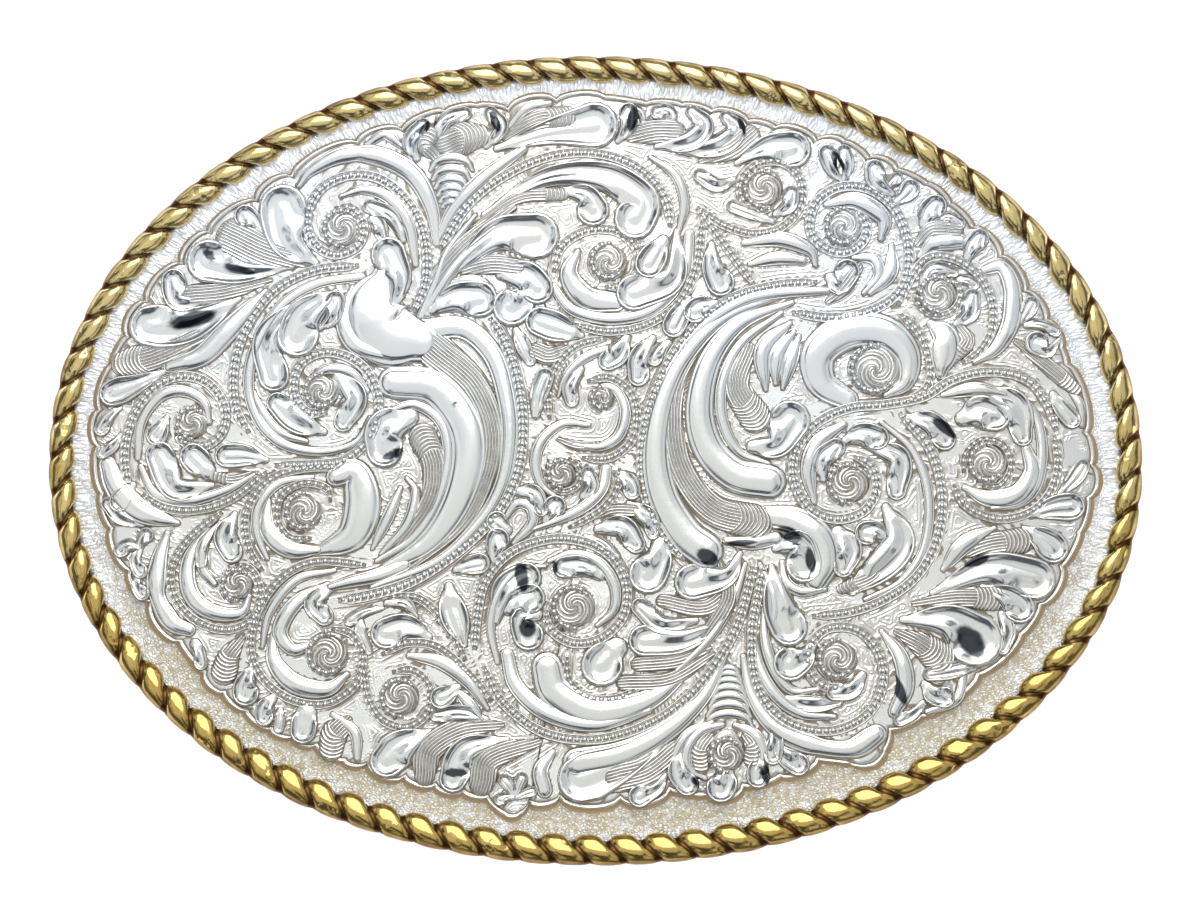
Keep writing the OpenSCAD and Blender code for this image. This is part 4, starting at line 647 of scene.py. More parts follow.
class Patches:
    """Grids of points gathered into one mesh. Each point has a surface coordinate, an edge and a tone."""

    def __init__(self):
        self.points, self.faces, self.surface, self.edge, self.tone = [], [], [], [], []
        self.count = 0

    def add(self, points, faces, surface=None, edge=None, tone=0.0):
        """Adds one grid. surface is in millimetres along and across, and edge in from the edge."""
        flat = points.reshape(-1, 3)
        zeros = np.zeros(len(flat))
        self.points.append(flat)
        self.faces.append(faces + self.count)
        self.surface.append(np.zeros((len(flat), 2)) if surface is None else surface.reshape(-1, 2))
        self.edge.append(zeros + 1 if edge is None else np.broadcast_to(edge, points.shape[:-1]).ravel())
        self.tone.append(zeros + tone)
        self.count += len(flat)

    def build(self, name, material, replaces=(), slot="bright_plate"):
        """Makes the object, merges points that share a place, and rides it on the root."""
        points, faces = np.vstack(self.points), np.vstack(self.faces)
        mesh = bpy.data.meshes.new(name)
        mesh.vertices.add(len(points))
        mesh.vertices.foreach_set("co", points.ravel().astype(np.float32))
        mesh.loops.add(faces.size)
        mesh.loops.foreach_set("vertex_index", faces.ravel().astype(np.int32))
        mesh.polygons.add(len(faces))
        mesh.polygons.foreach_set("loop_start", np.arange(0, faces.size, 4, dtype=np.int32))
        mesh.polygons.foreach_set("use_smooth", np.ones(len(faces), bool))
        mesh.update(calc_edges=True)
        layer = mesh.uv_layers.new(name="surface")
        surface = np.vstack(self.surface)[faces.ravel()]
        layer.data.foreach_set("uv", surface.ravel().astype(np.float32))
        for label, values in (("edge", self.edge), ("tone", self.tone)):
            attribute = mesh.attributes.new(label, "FLOAT", "POINT")
            attribute.data.foreach_set("value", np.concatenate(values).astype(np.float32))
        merged = bmesh.new()
        merged.from_mesh(mesh)
        bmesh.ops.remove_doubles(merged, verts=merged.verts, dist=1e-6)
        merged.to_mesh(mesh)
        merged.free()
        mesh.validate()
        mesh.materials.append(material)
        piece = bpy.data.objects.new(name, mesh)
        bpy.context.scene.collection.objects.link(piece)
        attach(piece, "root")
        if replaces:
            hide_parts(*replaces)
        return piece


# Strokes, whose profiles give the height in millimetres over the medallion

# The foot of every form, sunk into the medallion.
SUNK = -0.3
# Rings of a stroke, from its edge in to its middle line, closest where the cut line and the lip are.
STROKE_RINGS = np.array([1.0, 0.985, 0.95, 0.88, 0.81, 0.74, 0.67, 0.57, 0.4, 0.2, 0.0])
# Strands have a line cut at this ring, as wide as this share of the reach on each side.
CUT_RING, CUT_REACH = 0.74, 0.07
# The lip round a lobe starts at this ring, and is this share of the reach wide.
LIP_RING, LIP_REACH = 0.88, 0.12
# Leaves have one of this many tones, in turn.
LEAF_TONES = 7

# How deep a lobe is scooped: places across it, from its inner edge at -1 to its outer edge at 1, and
# shares of the scoop's depth there.
SCOOP = np.array([[-1, -0.4, -0.2, 0.0, 0.2, 0.4, 0.57, 0.67, 0.74, 0.81, 0.9, 0.95, 1],
                  [0, 0.0, 0.3, 0.7, 0.95, 1.0, 0.84, 0.66, 0.46, 0.24, 0.04, 0.0, 0.0]])

# Painted dark reflections: places where the polished silver is painted dark, as if it mirrored something
# dark there. Columns are x, y, half length, half width, and turn in degrees.
PAINTED_DARK_REFLECTIONS = np.array([
    [35.9, -16.9, 1.7, 1.0, -50], [36.3, -9.2, 1.2, 0.4, 20], [10.8, -9.2, 1.0, 0.7, -30],
    [14, -7.8, 1.4, 0.3, 5], [18.6, -7, 1.3, 0.6, -30], [20.6, -9.4, 0.4, 1.2, 10],
    [-13.3, 5.1, 0.5, 0.15, 40], [-19, 0.4, 1.2, 0.4, 20], [-38.4, 13.2, 2.2, 0.7, 14],
    [-34, 18, 1.6, 0.3, -15], [-36.9, 19.4, 0.8, 0.4, -50], [-16.3, 31.6, 1.1, 0.4, 30],
    [-9.8, 32.2, 0.4, 1.0, 20], [3.3, 32.5, 0.5, 1.2, -10], [13.8, 32, 0.4, 1.1, 20],
    [22.8, 28.7, 0.5, 1.0, 30], [33.3, 3.4, 1.4, 0.5, -35], [-4, -10.9, 0.5, 1.2, -15],
    [-6.2, -16.1, 0.8, 0.8, 0], [-12.8, -29.9, 1.1, 0.4, 0], [29, -21.4, 0.5, 1.6, 25],
    [13, -28.4, 0.8, 0.5, 40], [10.2, -30.6, 0.8, 0.4, -30], [16.6, -29.8, 0.5, 1.0, 20],
    [-6.8, -11.2, 0.6, 1.4, 10], [25, 23, 0.5, 0.9, 30], [-16, -29.6, 0.5, 0.9, 0]])


def painted_reflection(xy):
    """1 at places in the middle of a painted dark reflection, 0 outside all of them."""
    x, y, long, wide, turn = PAINTED_DARK_REFLECTIONS.T
    turn = np.radians(turn)
    dx, dy = xy[..., :1] - x, xy[..., 1:] - y
    across = (dy * np.cos(turn) - dx * np.sin(turn)) / wide
    far = np.hypot((dx * np.cos(turn) + dy * np.sin(turn)) / long, across)
    return 1 - smooth(far.min(axis=-1), 0.6, 1.5)


def dome(k, power):
    """From 1 on the middle line to 0 at the edge, flatter on top with a higher power."""
    return np.clip(1 - np.minimum(k, 1) ** power, 0, 1) ** 0.5


def stroke_height(columns, most):
    """Height of the crest: most on a broad stroke, and less where it is narrow or near the tail."""
    broad = np.clip(columns["reach"] / 0.9, 0, 1) ** 0.6
    return most / MM * broad * (0.55 + 0.45 * smooth(columns["share"], 0, 0.5))


def strand_profile(k, columns):
    """A polished strand: a flat-topped dome, with a line cut along it inside its edge."""
    cut = shape().strand_cut / MM * np.clip(1 - np.abs(k - CUT_RING) / CUT_REACH, 0, 1)
    cut = cut * smooth(columns["reach"], 0.3, 0.6)
    return stroke_height(columns, shape().strand_rise) * dome(k, 2.3) - cut


def leaf_profile(k, columns):
    """A low leaf: a shallow dome with a sharp foot."""
    return stroke_height(columns, shape().leaf_rise) * dome(k, 4.5)


def lobe_profile(k, columns):
    """A scooped lobe: across it a round crest on the inner side of its curl, then a scoop that rises
    to a thin lip on the outer side and round the head. Near its tail it is a plain dome."""
    side, turn = columns["side"], columns["turn"]
    outer = -side * math.copysign(1, turn) if abs(turn) > 0.25 else np.ones_like(side)
    outer = outer + (1 - outer) * smooth(columns["share"], 0.62, 1.0)
    place = k * outer
    wall = dome(np.clip(k - LIP_RING, 0, 1) / LIP_REACH, 2.0)
    scooped = np.where(place > 0, wall, dome(k, 2.6)) - shape().scoop * np.interp(place, *SCOOP)
    grown = smooth(columns["share"], 0.05, 0.4)
    height = np.maximum(scooped, 0) * grown + dome(k, 2.6) * (1 - grown)
    return stroke_height(columns, shape().lobe_rise) * height


def add_strokes(patches, rows, profile):
    """Adds a stroke for each row: rings from its edge in to its middle line, each as high as the
    profile says. Leaves have one of a few tones each, and on the others the tone is how dark a thing
    they mirror, painted into the silver as a dark reflection."""
    k = STROKE_RINGS[:, None]
    for index, row in enumerate(rows):
        columns = stroke_columns(row[3], row[:3])
        reach = columns["reach"]
        xy = columns["base"] + columns["out"] * (reach * k)[..., None]
        height = profile(k, columns)
        height[0] = SUNK
        along = columns["run"] + columns["past"] * reach * k
        surface = np.stack([along, columns["side"] * reach * k], axis=-1)
        points = on_medallion(xy, height)
        faces = facing_up(points, grid_faces(len(k), len(reach)))
        # On strands and lobes the tone is the painted dark reflection.
        tone = index % LEAF_TONES / (LEAF_TONES - 1) if profile is leaf_profile else painted_reflection(xy).ravel()
        patches.add(points, faces, surface, reach * (1 - k), tone)


def chevron_rows():
    """Stacks of short arcs, each narrower than the one before: rows as the strands have them."""
    rows = []
    turns = np.radians([180, 135, 90, 45, 0])
    for x, y, step, half, count, way in CHEVRONS:
        for i in range(count):
            share = 1 - i / count
            reach, level = half * (0.25 + 0.75 * share), y - way * step * i * (0.72 + 0.28 * share)
            drop = 0.6 * reach
            points = np.stack([x + reach * np.cos(turns), level - drop + drop * np.sin(turns)], axis=1)
            rows.append([0.3, 0.75 * step, 0.3, points.tolist()])
    return rows


# Bands and eyes

# Across a band, from its middle at 0: places as shares of half its width, the height there, and how
# far in from a form's edge they count, as a share of half the width.
RAIL_ACROSS = np.array([-1.14, -1.07, -0.97, -0.86, -0.78, 0.78, 0.86, 0.97, 1.07, 1.14])
RAIL_HEIGHT = np.array([SUNK, 0.16, 0.22, 0.2, 0.08, 0.08, 0.2, 0.22, 0.16, SUNK])
RAIL_EDGE = np.array([0.0, 0.2, 0.5, 0.4, 0.2, 0.2, 0.4, 0.5, 0.2, 0.0])
RAIL_SPACING = 0.3
# Bands lie at five heights in turn, so that two that cross don't share a surface.
BAND_LIFTS = 0.12 + 0.013 * np.arange(5)
# Each bead is a grid of this many points each way, and half as long and wide as these shares of the
# pitch and of the band's width. Its foot stands a little over the band, and sizes differ a little.
BEAD_SIDE = 5
HALF_BEAD_LONG, HALF_BEAD_WIDE = 0.47, 0.37
BEAD_FOOT, BEAD_UNEVEN = 0.04, 0.1

EYE_RINGS, EYE_SPOKES = 18, 60
# Arms of an eye's swirl of cut lines, and the width and height of the row of beads round it.
EYE_ARMS = 6
EYE_BEAD_WIDTH, EYE_BEAD_LIFT = 0.85, 0.5
# Height of an eye's spiral ridge over its dome.
EYE_RIDGE = 0.13


def band_taper(run):
    """Share of its width that a band has: it narrows towards both ends."""
    return 0.4 + 0.6 * smooth(np.minimum(run, run[-1] - run), 0, 1.6)


def add_band(patches, width, points, lift):
    """Adds a band: a strip with a rail along each side, carried along its middle line, that dips
    under the medallion at both ends."""
    line, run = curve_points(points, RAIL_SPACING)
    left = directions(line)[1]
    reach = width / 2 * band_taper(run)[:, None]
    xy = line[:, None] + left[:, None] * (RAIL_ACROSS * reach)[..., None]
    height = np.repeat(RAIL_HEIGHT[None] + lift, len(line), axis=0)
    height[[0, -1]] = SUNK
    surface = np.stack(np.broadcast_arrays(run[:, None], RAIL_ACROSS * width / 2), axis=-1)
    points = on_medallion(xy, height)
    faces = grid_faces(len(line), len(RAIL_ACROSS), wrap_columns=False)
    patches.add(points, facing_up(points, faces), surface, RAIL_EDGE * width / 2)


def add_beads(patches, width, points, lift, rng):
    """Adds a band's beads: along the middle line, at an even pitch, small pillows whose height falls
    with the fourth power towards their four sides."""
    line, run = curve_points(points, shape().bead_pitch / MM)
    line, ahead, left, taper = (v[1:-1] for v in (line, *directions(line), band_taper(run)))
    uneven = 1 + BEAD_UNEVEN * rng.uniform(-1, 1, (2, len(line), 1, 1))
    size = uneven * taper[:, None, None] ** [[[[0.5]]], [[[1.0]]]]
    along, across = np.meshgrid(*[np.linspace(-1, 1, BEAD_SIDE)] * 2)
    reach = size * np.array([run[1] * HALF_BEAD_LONG, width * HALF_BEAD_WIDE])[:, None, None, None]
    xy = line[:, None, None] + (ahead[:, None, None] * (along * reach[0])[..., None]
                                + left[:, None, None] * (across * reach[1])[..., None])
    pillow = (1 - along**4) * (1 - across**4)
    rise = shape().bead_rise / MM * size[0]
    points = on_medallion(xy, lift + BEAD_FOOT + rise * pillow**0.5)
    first = BEAD_SIDE**2 * np.arange(len(line))[:, None, None]
    faces = (grid_faces(BEAD_SIDE, BEAD_SIDE, wrap_columns=False)[None] + first).reshape(-1, 4)
    edge = (1 - np.maximum(np.abs(along), np.abs(across))) * 0.5 + 0.05
    patches.add(points, facing_up(points, faces), edge=edge)


def add_eye(patches, x, y, radius, turn):
    """Adds a spiral eye: a dome on a round grid with a spiral ridge, whose height is a cosine of the
    distance out less the angle. Its cut lines swirl out from the middle in a few arms."""
    pitch = bpy.context.scene.buckle_look.line_pitch / MM
    out = np.linspace(1, 0, EYE_RINGS)[:, None]
    angle = (2 * math.pi * np.arange(EYE_SPOKES + 1) / EYE_SPOKES)[None]
    xy = np.array([x, y]) + radius * out[..., None] * np.stack([np.cos(angle), np.sin(angle)], axis=-1)
    wave = np.cos(turn * 3 * math.pi * out**0.8 - angle)
    low_dome = shape().eye_rise / MM * (1 - 0.5 * out**2) * dome(out, 8)
    height = low_dome + EYE_RIDGE * wave * smooth(out, 0, 0.2) * (1 - out**6)
    height[0] = SUNK
    swirl = 0.75 * out * radius - turn * EYE_ARMS * pitch * angle / (2 * math.pi)
    surface = np.stack(np.broadcast_arrays(-5 + 0 * angle, swirl), axis=-1)
    points = on_medallion(xy, height)
    faces = facing_up(points, grid_faces(EYE_RINGS, EYE_SPOKES + 1, wrap_columns=False))
    patches.add(points, faces, surface, radius * (1 - out))


def eye_spiral(x, y, radius, turn):
    """Points of the beads that follow an eye's spiral for three quarters of a turn."""
    t = np.linspace(0, 1, 16)
    angle = turn * (1.2 + 1.5 * math.pi * t)
    reach = radius * (1.02 - 0.25 * t)
    return np.stack([x + reach * np.cos(angle), y + reach * np.sin(angle)], axis=-1)


def turned_eyes():
    """Each eye's row and which way it turns: every other one is the other way round."""
    return [(*row, 1 if index % 2 else -1) for index, row in enumerate(EYES)]


# The medallion and the ground

# The medallion's rim: columns are how far in from the scalloped edge, and height.
RIM = [
    [-0.32, -0.55], [-0.16, -0.44], [0.0, -0.36], [0.03, 0.02], [0.1, 0.12], [0.34, 0.12],
    [0.42, 0.02], [0.5, -0.06], [0.58, 0.0]]
# Rings from the rim in to the middle.
MEDALLION_STEPS = 100
# For the distance to the forms, the foot of a band is this much wider than the band, and the points
# on an edge stand this far apart.
BAND_FOOT = 1.12
EDGE_SPACING = 0.1
# The ground's grid, and its relief in millimetres near the rope and further in.
GROUND_COLUMNS, GROUND_ROWS = 2200, 26
STREAK_RELIEF, GRAIN_RELIEF = 0.1, 0.035


def distance_to_forms(places):
    """Distance in millimetres from each place to the nearest edge of a stroke, band or eye."""
    bands = [[width * BAND_FOOT] * 3 + [points] for width, points in BANDS]
    angle = np.linspace(0, 2 * math.pi, 90)[:, None]
    lines = [np.array([x, y]) + r * np.hstack([np.cos(angle), np.sin(angle)]) for x, y, r in EYES]
    for row in [*STRANDS, *LOBES, *LEAVES, *chevron_rows(), *bands]:
        columns = stroke_columns(row[3], row[:3], EDGE_SPACING)
        lines.append(columns["base"] + columns["out"] * columns["reach"][:, None])
    lines = np.vstack(lines)
    tree = KDTree(len(lines))
    for index, (x, y) in enumerate(lines):
        tree.insert((x, y, 0), index)
    tree.balance()
    return np.array([tree.find((x, y, 0))[2] for x, y in places])


def build_medallion(material):
    """The scalloped medallion: a rim along its edge, and inside it rings that shrink to the middle.
    Its edge attribute is the distance to the nearest form that stands on it."""
    edge = medallion_edge()
    inset, height = np.array(RIM).T
    low = np.where(inset[:, None] < 0, 0.6 + 0.4 * smooth(-edge[:, 1], -26, 4), 1.0)
    rim = 1 - inset[:, None] * low / np.linalg.norm(edge, axis=1)
    k = np.vstack([rim, rim[-1:] * np.linspace(1, 0, MEDALLION_STEPS)[1:, None]])
    xy = edge[None] * k[..., None]
    height = np.concatenate([height, np.zeros(len(k) - len(height))])[:, None] + 0 * k
    near = distance_to_forms(xy.reshape(-1, 2)).reshape(k.shape)
    near[: len(inset)] = np.where(inset < 0.01, -1.0, np.abs(inset - 0.5))[:, None]
    patches = Patches()
    points = on_medallion(xy, height)
    patches.add(points, facing_up(points, grid_faces(len(k), len(edge))), xy, near)
    return patches.build("medallion", material)


def build_ground(material):
    """The border between rope and medallion: a band of the oval that dips under the rope, with smooth
    noise that is stretched across the border near the rope and fine near the medallion."""
    inset, width = shape().ground_inset / MM, shape().ground_width / MM
    outer, length = even_oval(GROUND_COLUMNS, inset)
    inner = even_oval(GROUND_COLUMNS, inset + width)[0]
    t = np.linspace(0, 1, GROUND_ROWS)[:, None]
    xy = inner[None] * (1 - t[..., None]) + outer[None] * t[..., None]
    run = (np.arange(GROUND_COLUMNS) / GROUND_COLUMNS)[None] + 0 * t
    streaks = noise(run * 620, t * width / 1.1, 620, 11) + 0.6 * noise(run * 1000, t * width / 0.7, 1000, 12)
    grains = noise(run * 900, t * width / 0.32, 900, 13)
    near_rope = smooth(t, 0.6, 0.85)
    height = shape().ground_step / MM + STREAK_RELIEF * streaks * near_rope
    height = height + GRAIN_RELIEF * grains * (1 - 0.6 * near_rope) - 0.5 * smooth(t, 0.965, 1.0)
    surface = np.stack(np.broadcast_arrays(run * length, (1 - t) * width), axis=-1)
    rough = np.clip(0.5 + (streaks * near_rope + grains) * 0.3, 0, 1)
    patches = Patches()
    points = on_plate(xy, height)
    faces = facing_up(points, grid_faces(GROUND_ROWS, GROUND_COLUMNS))
    patches.add(points, faces, surface, rough)
    return patches.build("ground", material)


# The rope

ROPE_PER_BULGE, ROPE_AROUND = 20, 36
# The rope's reach in its valleys as a share of its radius, and how far its pattern moves on, in bulges,
# over the top of the section.
ROPE_FLOOR, ROPE_LEAN = 0.7, 0.56
# How much wider than tall half of the rope's section is, and how far that reaches past the solid's edge.
ROPE_WIDER, ROPE_OUT = 0.2, 0.1


def rope_section(phase):
    """How far the rope reaches, as a share of its radius, at a phase from one valley to the next: a fat
    bulge, and a thin wire on each side of the valley."""
    fat = ROPE_FLOOR + (1 - ROPE_FLOOR) * dome(np.abs(phase - 0.5) / 0.42, 2.4)
    valley = np.minimum(phase, 1 - phase)
    wire = ROPE_FLOOR + 0.08 * dome(np.abs(valley - 0.04) / 0.035, 2.0)
    return np.maximum(fat, wire)


def build_rope(material):
    """The twisted rope: along it follow fat bulges with two fine wires in each valley. They lean so that
    over the top of the section the pattern moves on by more than half a bulge. Its inner side is fuller
    towards the lower edge."""
    bulges = shape().rope_bulges
    count = bulges * ROPE_PER_BULGE
    tall = shape().rope_thickness / 2 / MM
    wide = tall + ROPE_WIDER
    line = even_oval(count, wide - ROPE_OUT)[0]
    ahead = directions(np.vstack([line[-2:], line, line[:2]]))[0][2:-2]
    side = np.stack([ahead[:, 1], -ahead[:, 0]], axis=1)[:, None]
    theta = (2 * math.pi * np.arange(ROPE_AROUND) / ROPE_AROUND)[None]
    cos = np.cos(theta)
    run = bulges * (np.arange(count) / count)[:, None]
    over, under = ROPE_LEAN / 2, (1 - ROPE_LEAN) / 2
    lean = np.where(theta < math.pi, over - over * cos, 1 - under + under * cos)
    full = rope_section(np.mod(lean + run, 1))
    depth = 1 - 0.5 * smooth(cos, 0.5, 0.95) + 0.6 * smooth(-cos, 0.2, 0.8)
    uneven = noise(run * 2 + 0 * theta, 2 + np.sin(theta) + 0 * run, 2 * bulges, 21)
    section = (1 - (1 - full) * depth) * (1 + 0.02 * (uneven - 1))
    fuller = 1 + 0.35 * smooth(-line[:, 1:], 5, 34) * smooth(-cos, 0, 0.8)
    xy = line[:, None] + side * (wide * section * fuller * cos)[..., None]
    points = on_plate(xy, shape().rope_gap / MM + tall + tall * section * np.sin(theta))
    surface = np.stack(np.broadcast_arrays(run, theta), axis=-1)
    faces = grid_faces(count, ROPE_AROUND, wrap_rows=True)[:, ::-1]
    # Painted shade: the tone rises to 1 along the rope's outer side, where the gold is painted darker.
    outer = smooth(cos, 0.45, 0.95) + 0 * run
    patches = Patches()
    patches.add(points, faces, surface, (full - ROPE_FLOOR) / (1 - ROPE_FLOOR), outer.ravel())
    return patches.build("rope_edge_twist", material, replaces=["rope_edge"], slot="gold_rope")


# The plain back

BACK_AROUND, TURNED_AROUND = 360, 64


def build_back(material):
    """The ledge, edge and back of the plate, from the ground's foot out, down and in to the middle,
    with the hinge barrel and the post's collar that are soldered to it."""
    thick = shape().ledge_thickness / MM
    ledge = [(3, -0.02), (0.6, -0.02), (0.45, -0.1), (0.4, -0.25), (0.4, 0.2 - thick)]
    inset, height = np.array(ledge + [(inset, -thick) for inset in (0.5, 6, 12, 20, 28, 36)]).T
    angle = 2 * math.pi * np.arange(BACK_AROUND) / BACK_AROUND
    xy = np.stack([oval(angle, distance) for distance in inset])
    xy = np.concatenate([xy, 0 * xy[:1]])
    height = np.append(height, height[-1])[:, None] + 0 * xy[..., 0]
    patches = Patches()
    patches.add(on_plate(xy, height), grid_faces(len(height), BACK_AROUND), xy)
    add_barrel(patches)
    add_collar(patches)
    return patches.build("plate_back", material, replaces=["face_plate"])


def turned_ring(profile):
    """Points of a profile of radius and height, turned round an axis."""
    angle = 2 * math.pi * np.arange(TURNED_AROUND) / TURNED_AROUND
    radius, height = np.array(profile).T[..., None]
    return np.stack(np.broadcast_arrays(radius * np.cos(angle), radius * np.sin(angle), height), axis=-1)


def add_barrel(patches):
    """The hinge barrel: a closed ring section turned round the loop's bar."""
    half, outer = shape().barrel_length / 2 / MM, shape().barrel_thickness / 2 / MM
    wire = shape().wire_thickness / 2 / MM
    inner, bevel = wire + 0.08, 0.2
    profile = [(inner, -half), (outer - bevel, -half), (outer, bevel - half), (outer, half - bevel),
               (outer - bevel, half), (inner, half)]
    ring = turned_ring(profile)
    middle = np.array([LOOP_LOW.x / MM + wire, 0, LOOP_HIGH.z / MM - wire])
    points = middle + np.stack([ring[..., 0], ring[..., 2], ring[..., 1]], axis=-1)
    faces = grid_faces(len(profile), TURNED_AROUND, wrap_rows=True)[:, ::-1]
    patches.add(points * MM, faces, ring[..., :2])


def add_collar(patches):
    """The post's collar: a low round boss that runs up into the plate."""
    reach, foot = shape().collar_width / 2 / MM, (POST_HIGH.x - POST_LOW.x) / 2 / MM + 0.05
    top = POST_HIGH.z / MM
    low = top - shape().collar_height / MM - 0.6
    profile = [(foot, top), (foot, low + 0.1), (foot + 0.1, low), (reach - 0.3, low), (reach, low + 0.3),
               (reach, top)]
    ring = turned_ring(profile)
    points = np.array([(POST_HIGH.x + POST_LOW.x) / 2 / MM, 0, 0]) + ring
    patches.add(points * MM, grid_faces(len(profile), TURNED_AROUND), ring[..., :2])


# Shader maths


class Value:
    """A shader socket. Arithmetic on it adds Math nodes."""

    def __init__(self, graph, socket):
        self.graph, self.socket = graph, socket

    def maths(self, operation, *values):
        """A Math node's result."""
        return self.graph.add("ShaderNodeMath", {"operation": operation}, values)

    def __add__(self, other):
        return self.maths("ADD", self, other)

    def __sub__(self, other):
        return self.maths("SUBTRACT", self, other)

    def __mul__(self, other):
        return self.maths("MULTIPLY", self, other)

    def __truediv__(self, other):
        return self.maths("DIVIDE", self, other)

    def __rsub__(self, other):
        return self.maths("SUBTRACT", other, self)

    __radd__ = __add__
    __rmul__ = __mul__

    def wave(self):
        """A sine that runs from 0 to 1."""
        return self.maths("SINE", self) * 0.5 + 0.5

    def rise(self, low, high):
        """0 below low, 1 above high, and smooth between."""
        inputs = {"Value": self, "From Min": low, "From Max": high}
        return self.graph.add("ShaderNodeMapRange", {"interpolation_type": "SMOOTHSTEP"}, inputs)


class Graph:
    """The nodes of one material or world."""

    def __init__(self, tree):
        self.tree = tree
        tree.nodes.clear()

    def add(self, kind, settings=None, inputs=None, output=0):
        """Adds a node of a type with its settings, then its inputs by name or in order."""
        node = self.tree.nodes.new(kind)
        for name, value in (settings or {}).items():
            setattr(node, name, value)
        pairs = inputs.items() if isinstance(inputs, dict) else enumerate(inputs or [])
        for key, value in pairs:
            if isinstance(value, Value):
                self.tree.links.new(value.socket, node.inputs[key])
            else:
                node.inputs[key].default_value = value
        return Value(self, node.outputs[output]) if node.outputs else None

    def mix(self, fac, first, second):
        """First colour at 0, second at 1. The mixed colours are the node's inputs 6 and 7."""
        settings = {"data_type": "RGBA", "clamp_factor": True}
        pair = [shade if isinstance(shade, Value) else (*tuple(shade)[:3], 1) for shade in (first, second)]
        return self.add("ShaderNodeMix", settings, {0: fac, 6: pair[0], 7: pair[1]}, output=2)

    def split(self, vector):
        """The three parts of a vector."""
        node = self.tree.nodes.new("ShaderNodeSeparateXYZ")
        self.tree.links.new(vector.socket, node.inputs[0])
        return [Value(self, socket) for socket in node.outputs]

    def places(self):
        """The place on the object, in metres."""
        return self.add("ShaderNodeTexCoord", output=3)

    def lower(self, low, high):
        """1 up to one place up the face, 0 from another on, and smooth between, in millimetres."""
        return 1 - (self.split(self.places())[1] * 1000).rise(low, high)

    def attribute(self, name):
        """A value that the mesh keeps at each point."""
        return self.add("ShaderNodeAttribute", {"attribute_name": name}, output=2)

    def surface(self):
        """The surface coordinate in millimetres: along and across."""
        return self.split(self.add("ShaderNodeUVMap", {"uv_map": "surface"}))[:2]

    def noise(self, scale, detail=2.0, roughness=0.5):
        """Noise over the place on the object, with scale in bumps per metre."""
        inputs = {"Vector": self.places(), "Scale": scale, "Detail": detail, "Roughness": roughness}
        return self.add("ShaderNodeTexNoise", {}, inputs)

    def cracks(self, along, across, long, wide):
        """Distance from a cell's edge, as a share of its size, for cells of a length and a width."""
        place = self.add("ShaderNodeCombineXYZ", {}, [along / long, across / wide, 0.0])
        settings = {"feature": "DISTANCE_TO_EDGE", "voronoi_dimensions": "2D"}
        return self.add("ShaderNodeTexVoronoi", settings, {"Vector": place, "Scale": 1.0})

    def bump(self, height, distance):
        """A normal from a height, of which 1 stands for a distance in metres."""
        return self.add("ShaderNodeBump", {}, {"Strength": 1.0, "Distance": distance, "Height": height})

    def metal(self, colour, roughness, metallic, normal, coat=0.0):
        """The metal's surface, wired to the output."""
        inputs = {"Base Color": colour, "Roughness": roughness, "Metallic": metallic, "Normal": normal,
                  "Coat Weight": coat}
        surface = self.add("ShaderNodeBsdfPrincipled", {}, inputs)
        self.add("ShaderNodeOutputMaterial", {}, {"Surface": surface})


def new_graph(name):
    """A new material and its graph."""
    material = bpy.data.materials.new(name)
    material.use_nodes = True
    return material, Graph(material.node_tree)


# How deep the bumps of each kind of silver are, in metres.
BUMP_DEPTH = {"polished": 0.00002, "cut": 0.00007, "ground": 0.00003}


def silver(name, kind):
    """Bright silver with brown oxide along the foot of each form. A strand, lobe or bead is polished,
    a leaf or an eye is cut with fine lines, and the medallion is cut with lines round the forms."""
    look = bpy.context.scene.buckle_look
    material, g = new_graph(name)
    edge = g.attribute("edge")
    worn = g.noise(900, 3.0)
    pitch = 2 * math.pi / (look.line_pitch / MM)
    foot = (1 - edge.rise(0.4 * look.oxide_width / MM, look.oxide_width / MM)) * (0.5 + worn * 0.9)
    oxide, height = foot, g.noise(1600, 2.0) * 0.3
    if kind == "cut":
        along, across = g.surface()
        lines = (across * pitch).wave()
        bow = along + across * across * 0.4
        arcs = (bow * pitch * 0.8).wave()
        at_head = (bow + g.noise(500) * 0.6).rise(-1.3, -1.1) * g.attribute("tone").rise(0.4, 0.45)
        cuts = lines * (1 - at_head) + arcs * at_head
        height = cuts + g.noise(4000, 2.0) * 0.3
        oxide = foot + (1 - cuts.rise(0.15, 0.5)) * look.cut_oxide * (0.3 + worn * 0.9)
    if kind == "ground":
        lines = (edge * pitch).wave()
        here = g.noise(260, 2.0).rise(0.4, 0.5) * (1 - edge.rise(1.0, 1.5))
        height = lines * here + g.noise(1200, 1.0) * 0.15
        oxide = foot + (1 - lines.rise(0.15, 0.5)) * here * look.cut_oxide * (0.1 + worn * 0.9)
    tint = g.noise(60, 2.0).rise(0.35, 0.7)
    bright = g.mix(tint, look.silver, look.warm_silver)
    low = g.lower(-18, 26)
    oxide = (oxide * (0.9 + low * 0.3)).rise(0.0, 1.0)
    brown = g.mix(edge.rise(-0.7, -0.05), look.rim_oxide, look.oxide)
    colour = g.mix(oxide * 0.92, g.mix(low, bright, look.low_silver), brown)
    # Painted dark reflections: polished silver is painted towards the dark colour where its tone, with some
    # noise, is high.
    if kind == "polished":
        dark = (g.attribute("tone") + g.noise(900, 2.0) * 0.6 - 0.3).rise(0.2, 0.75)
        colour = g.mix(dark * 0.95, colour, look.dark)
    rough = look.polish + (0.0 if kind == "polished" else 0.06)
    bumps = g.bump(height, BUMP_DEPTH[kind])
    g.metal(colour, rough + oxide * 0.3 + g.noise(400) * 0.05, 1 - oxide * 0.45, bumps)
    return material


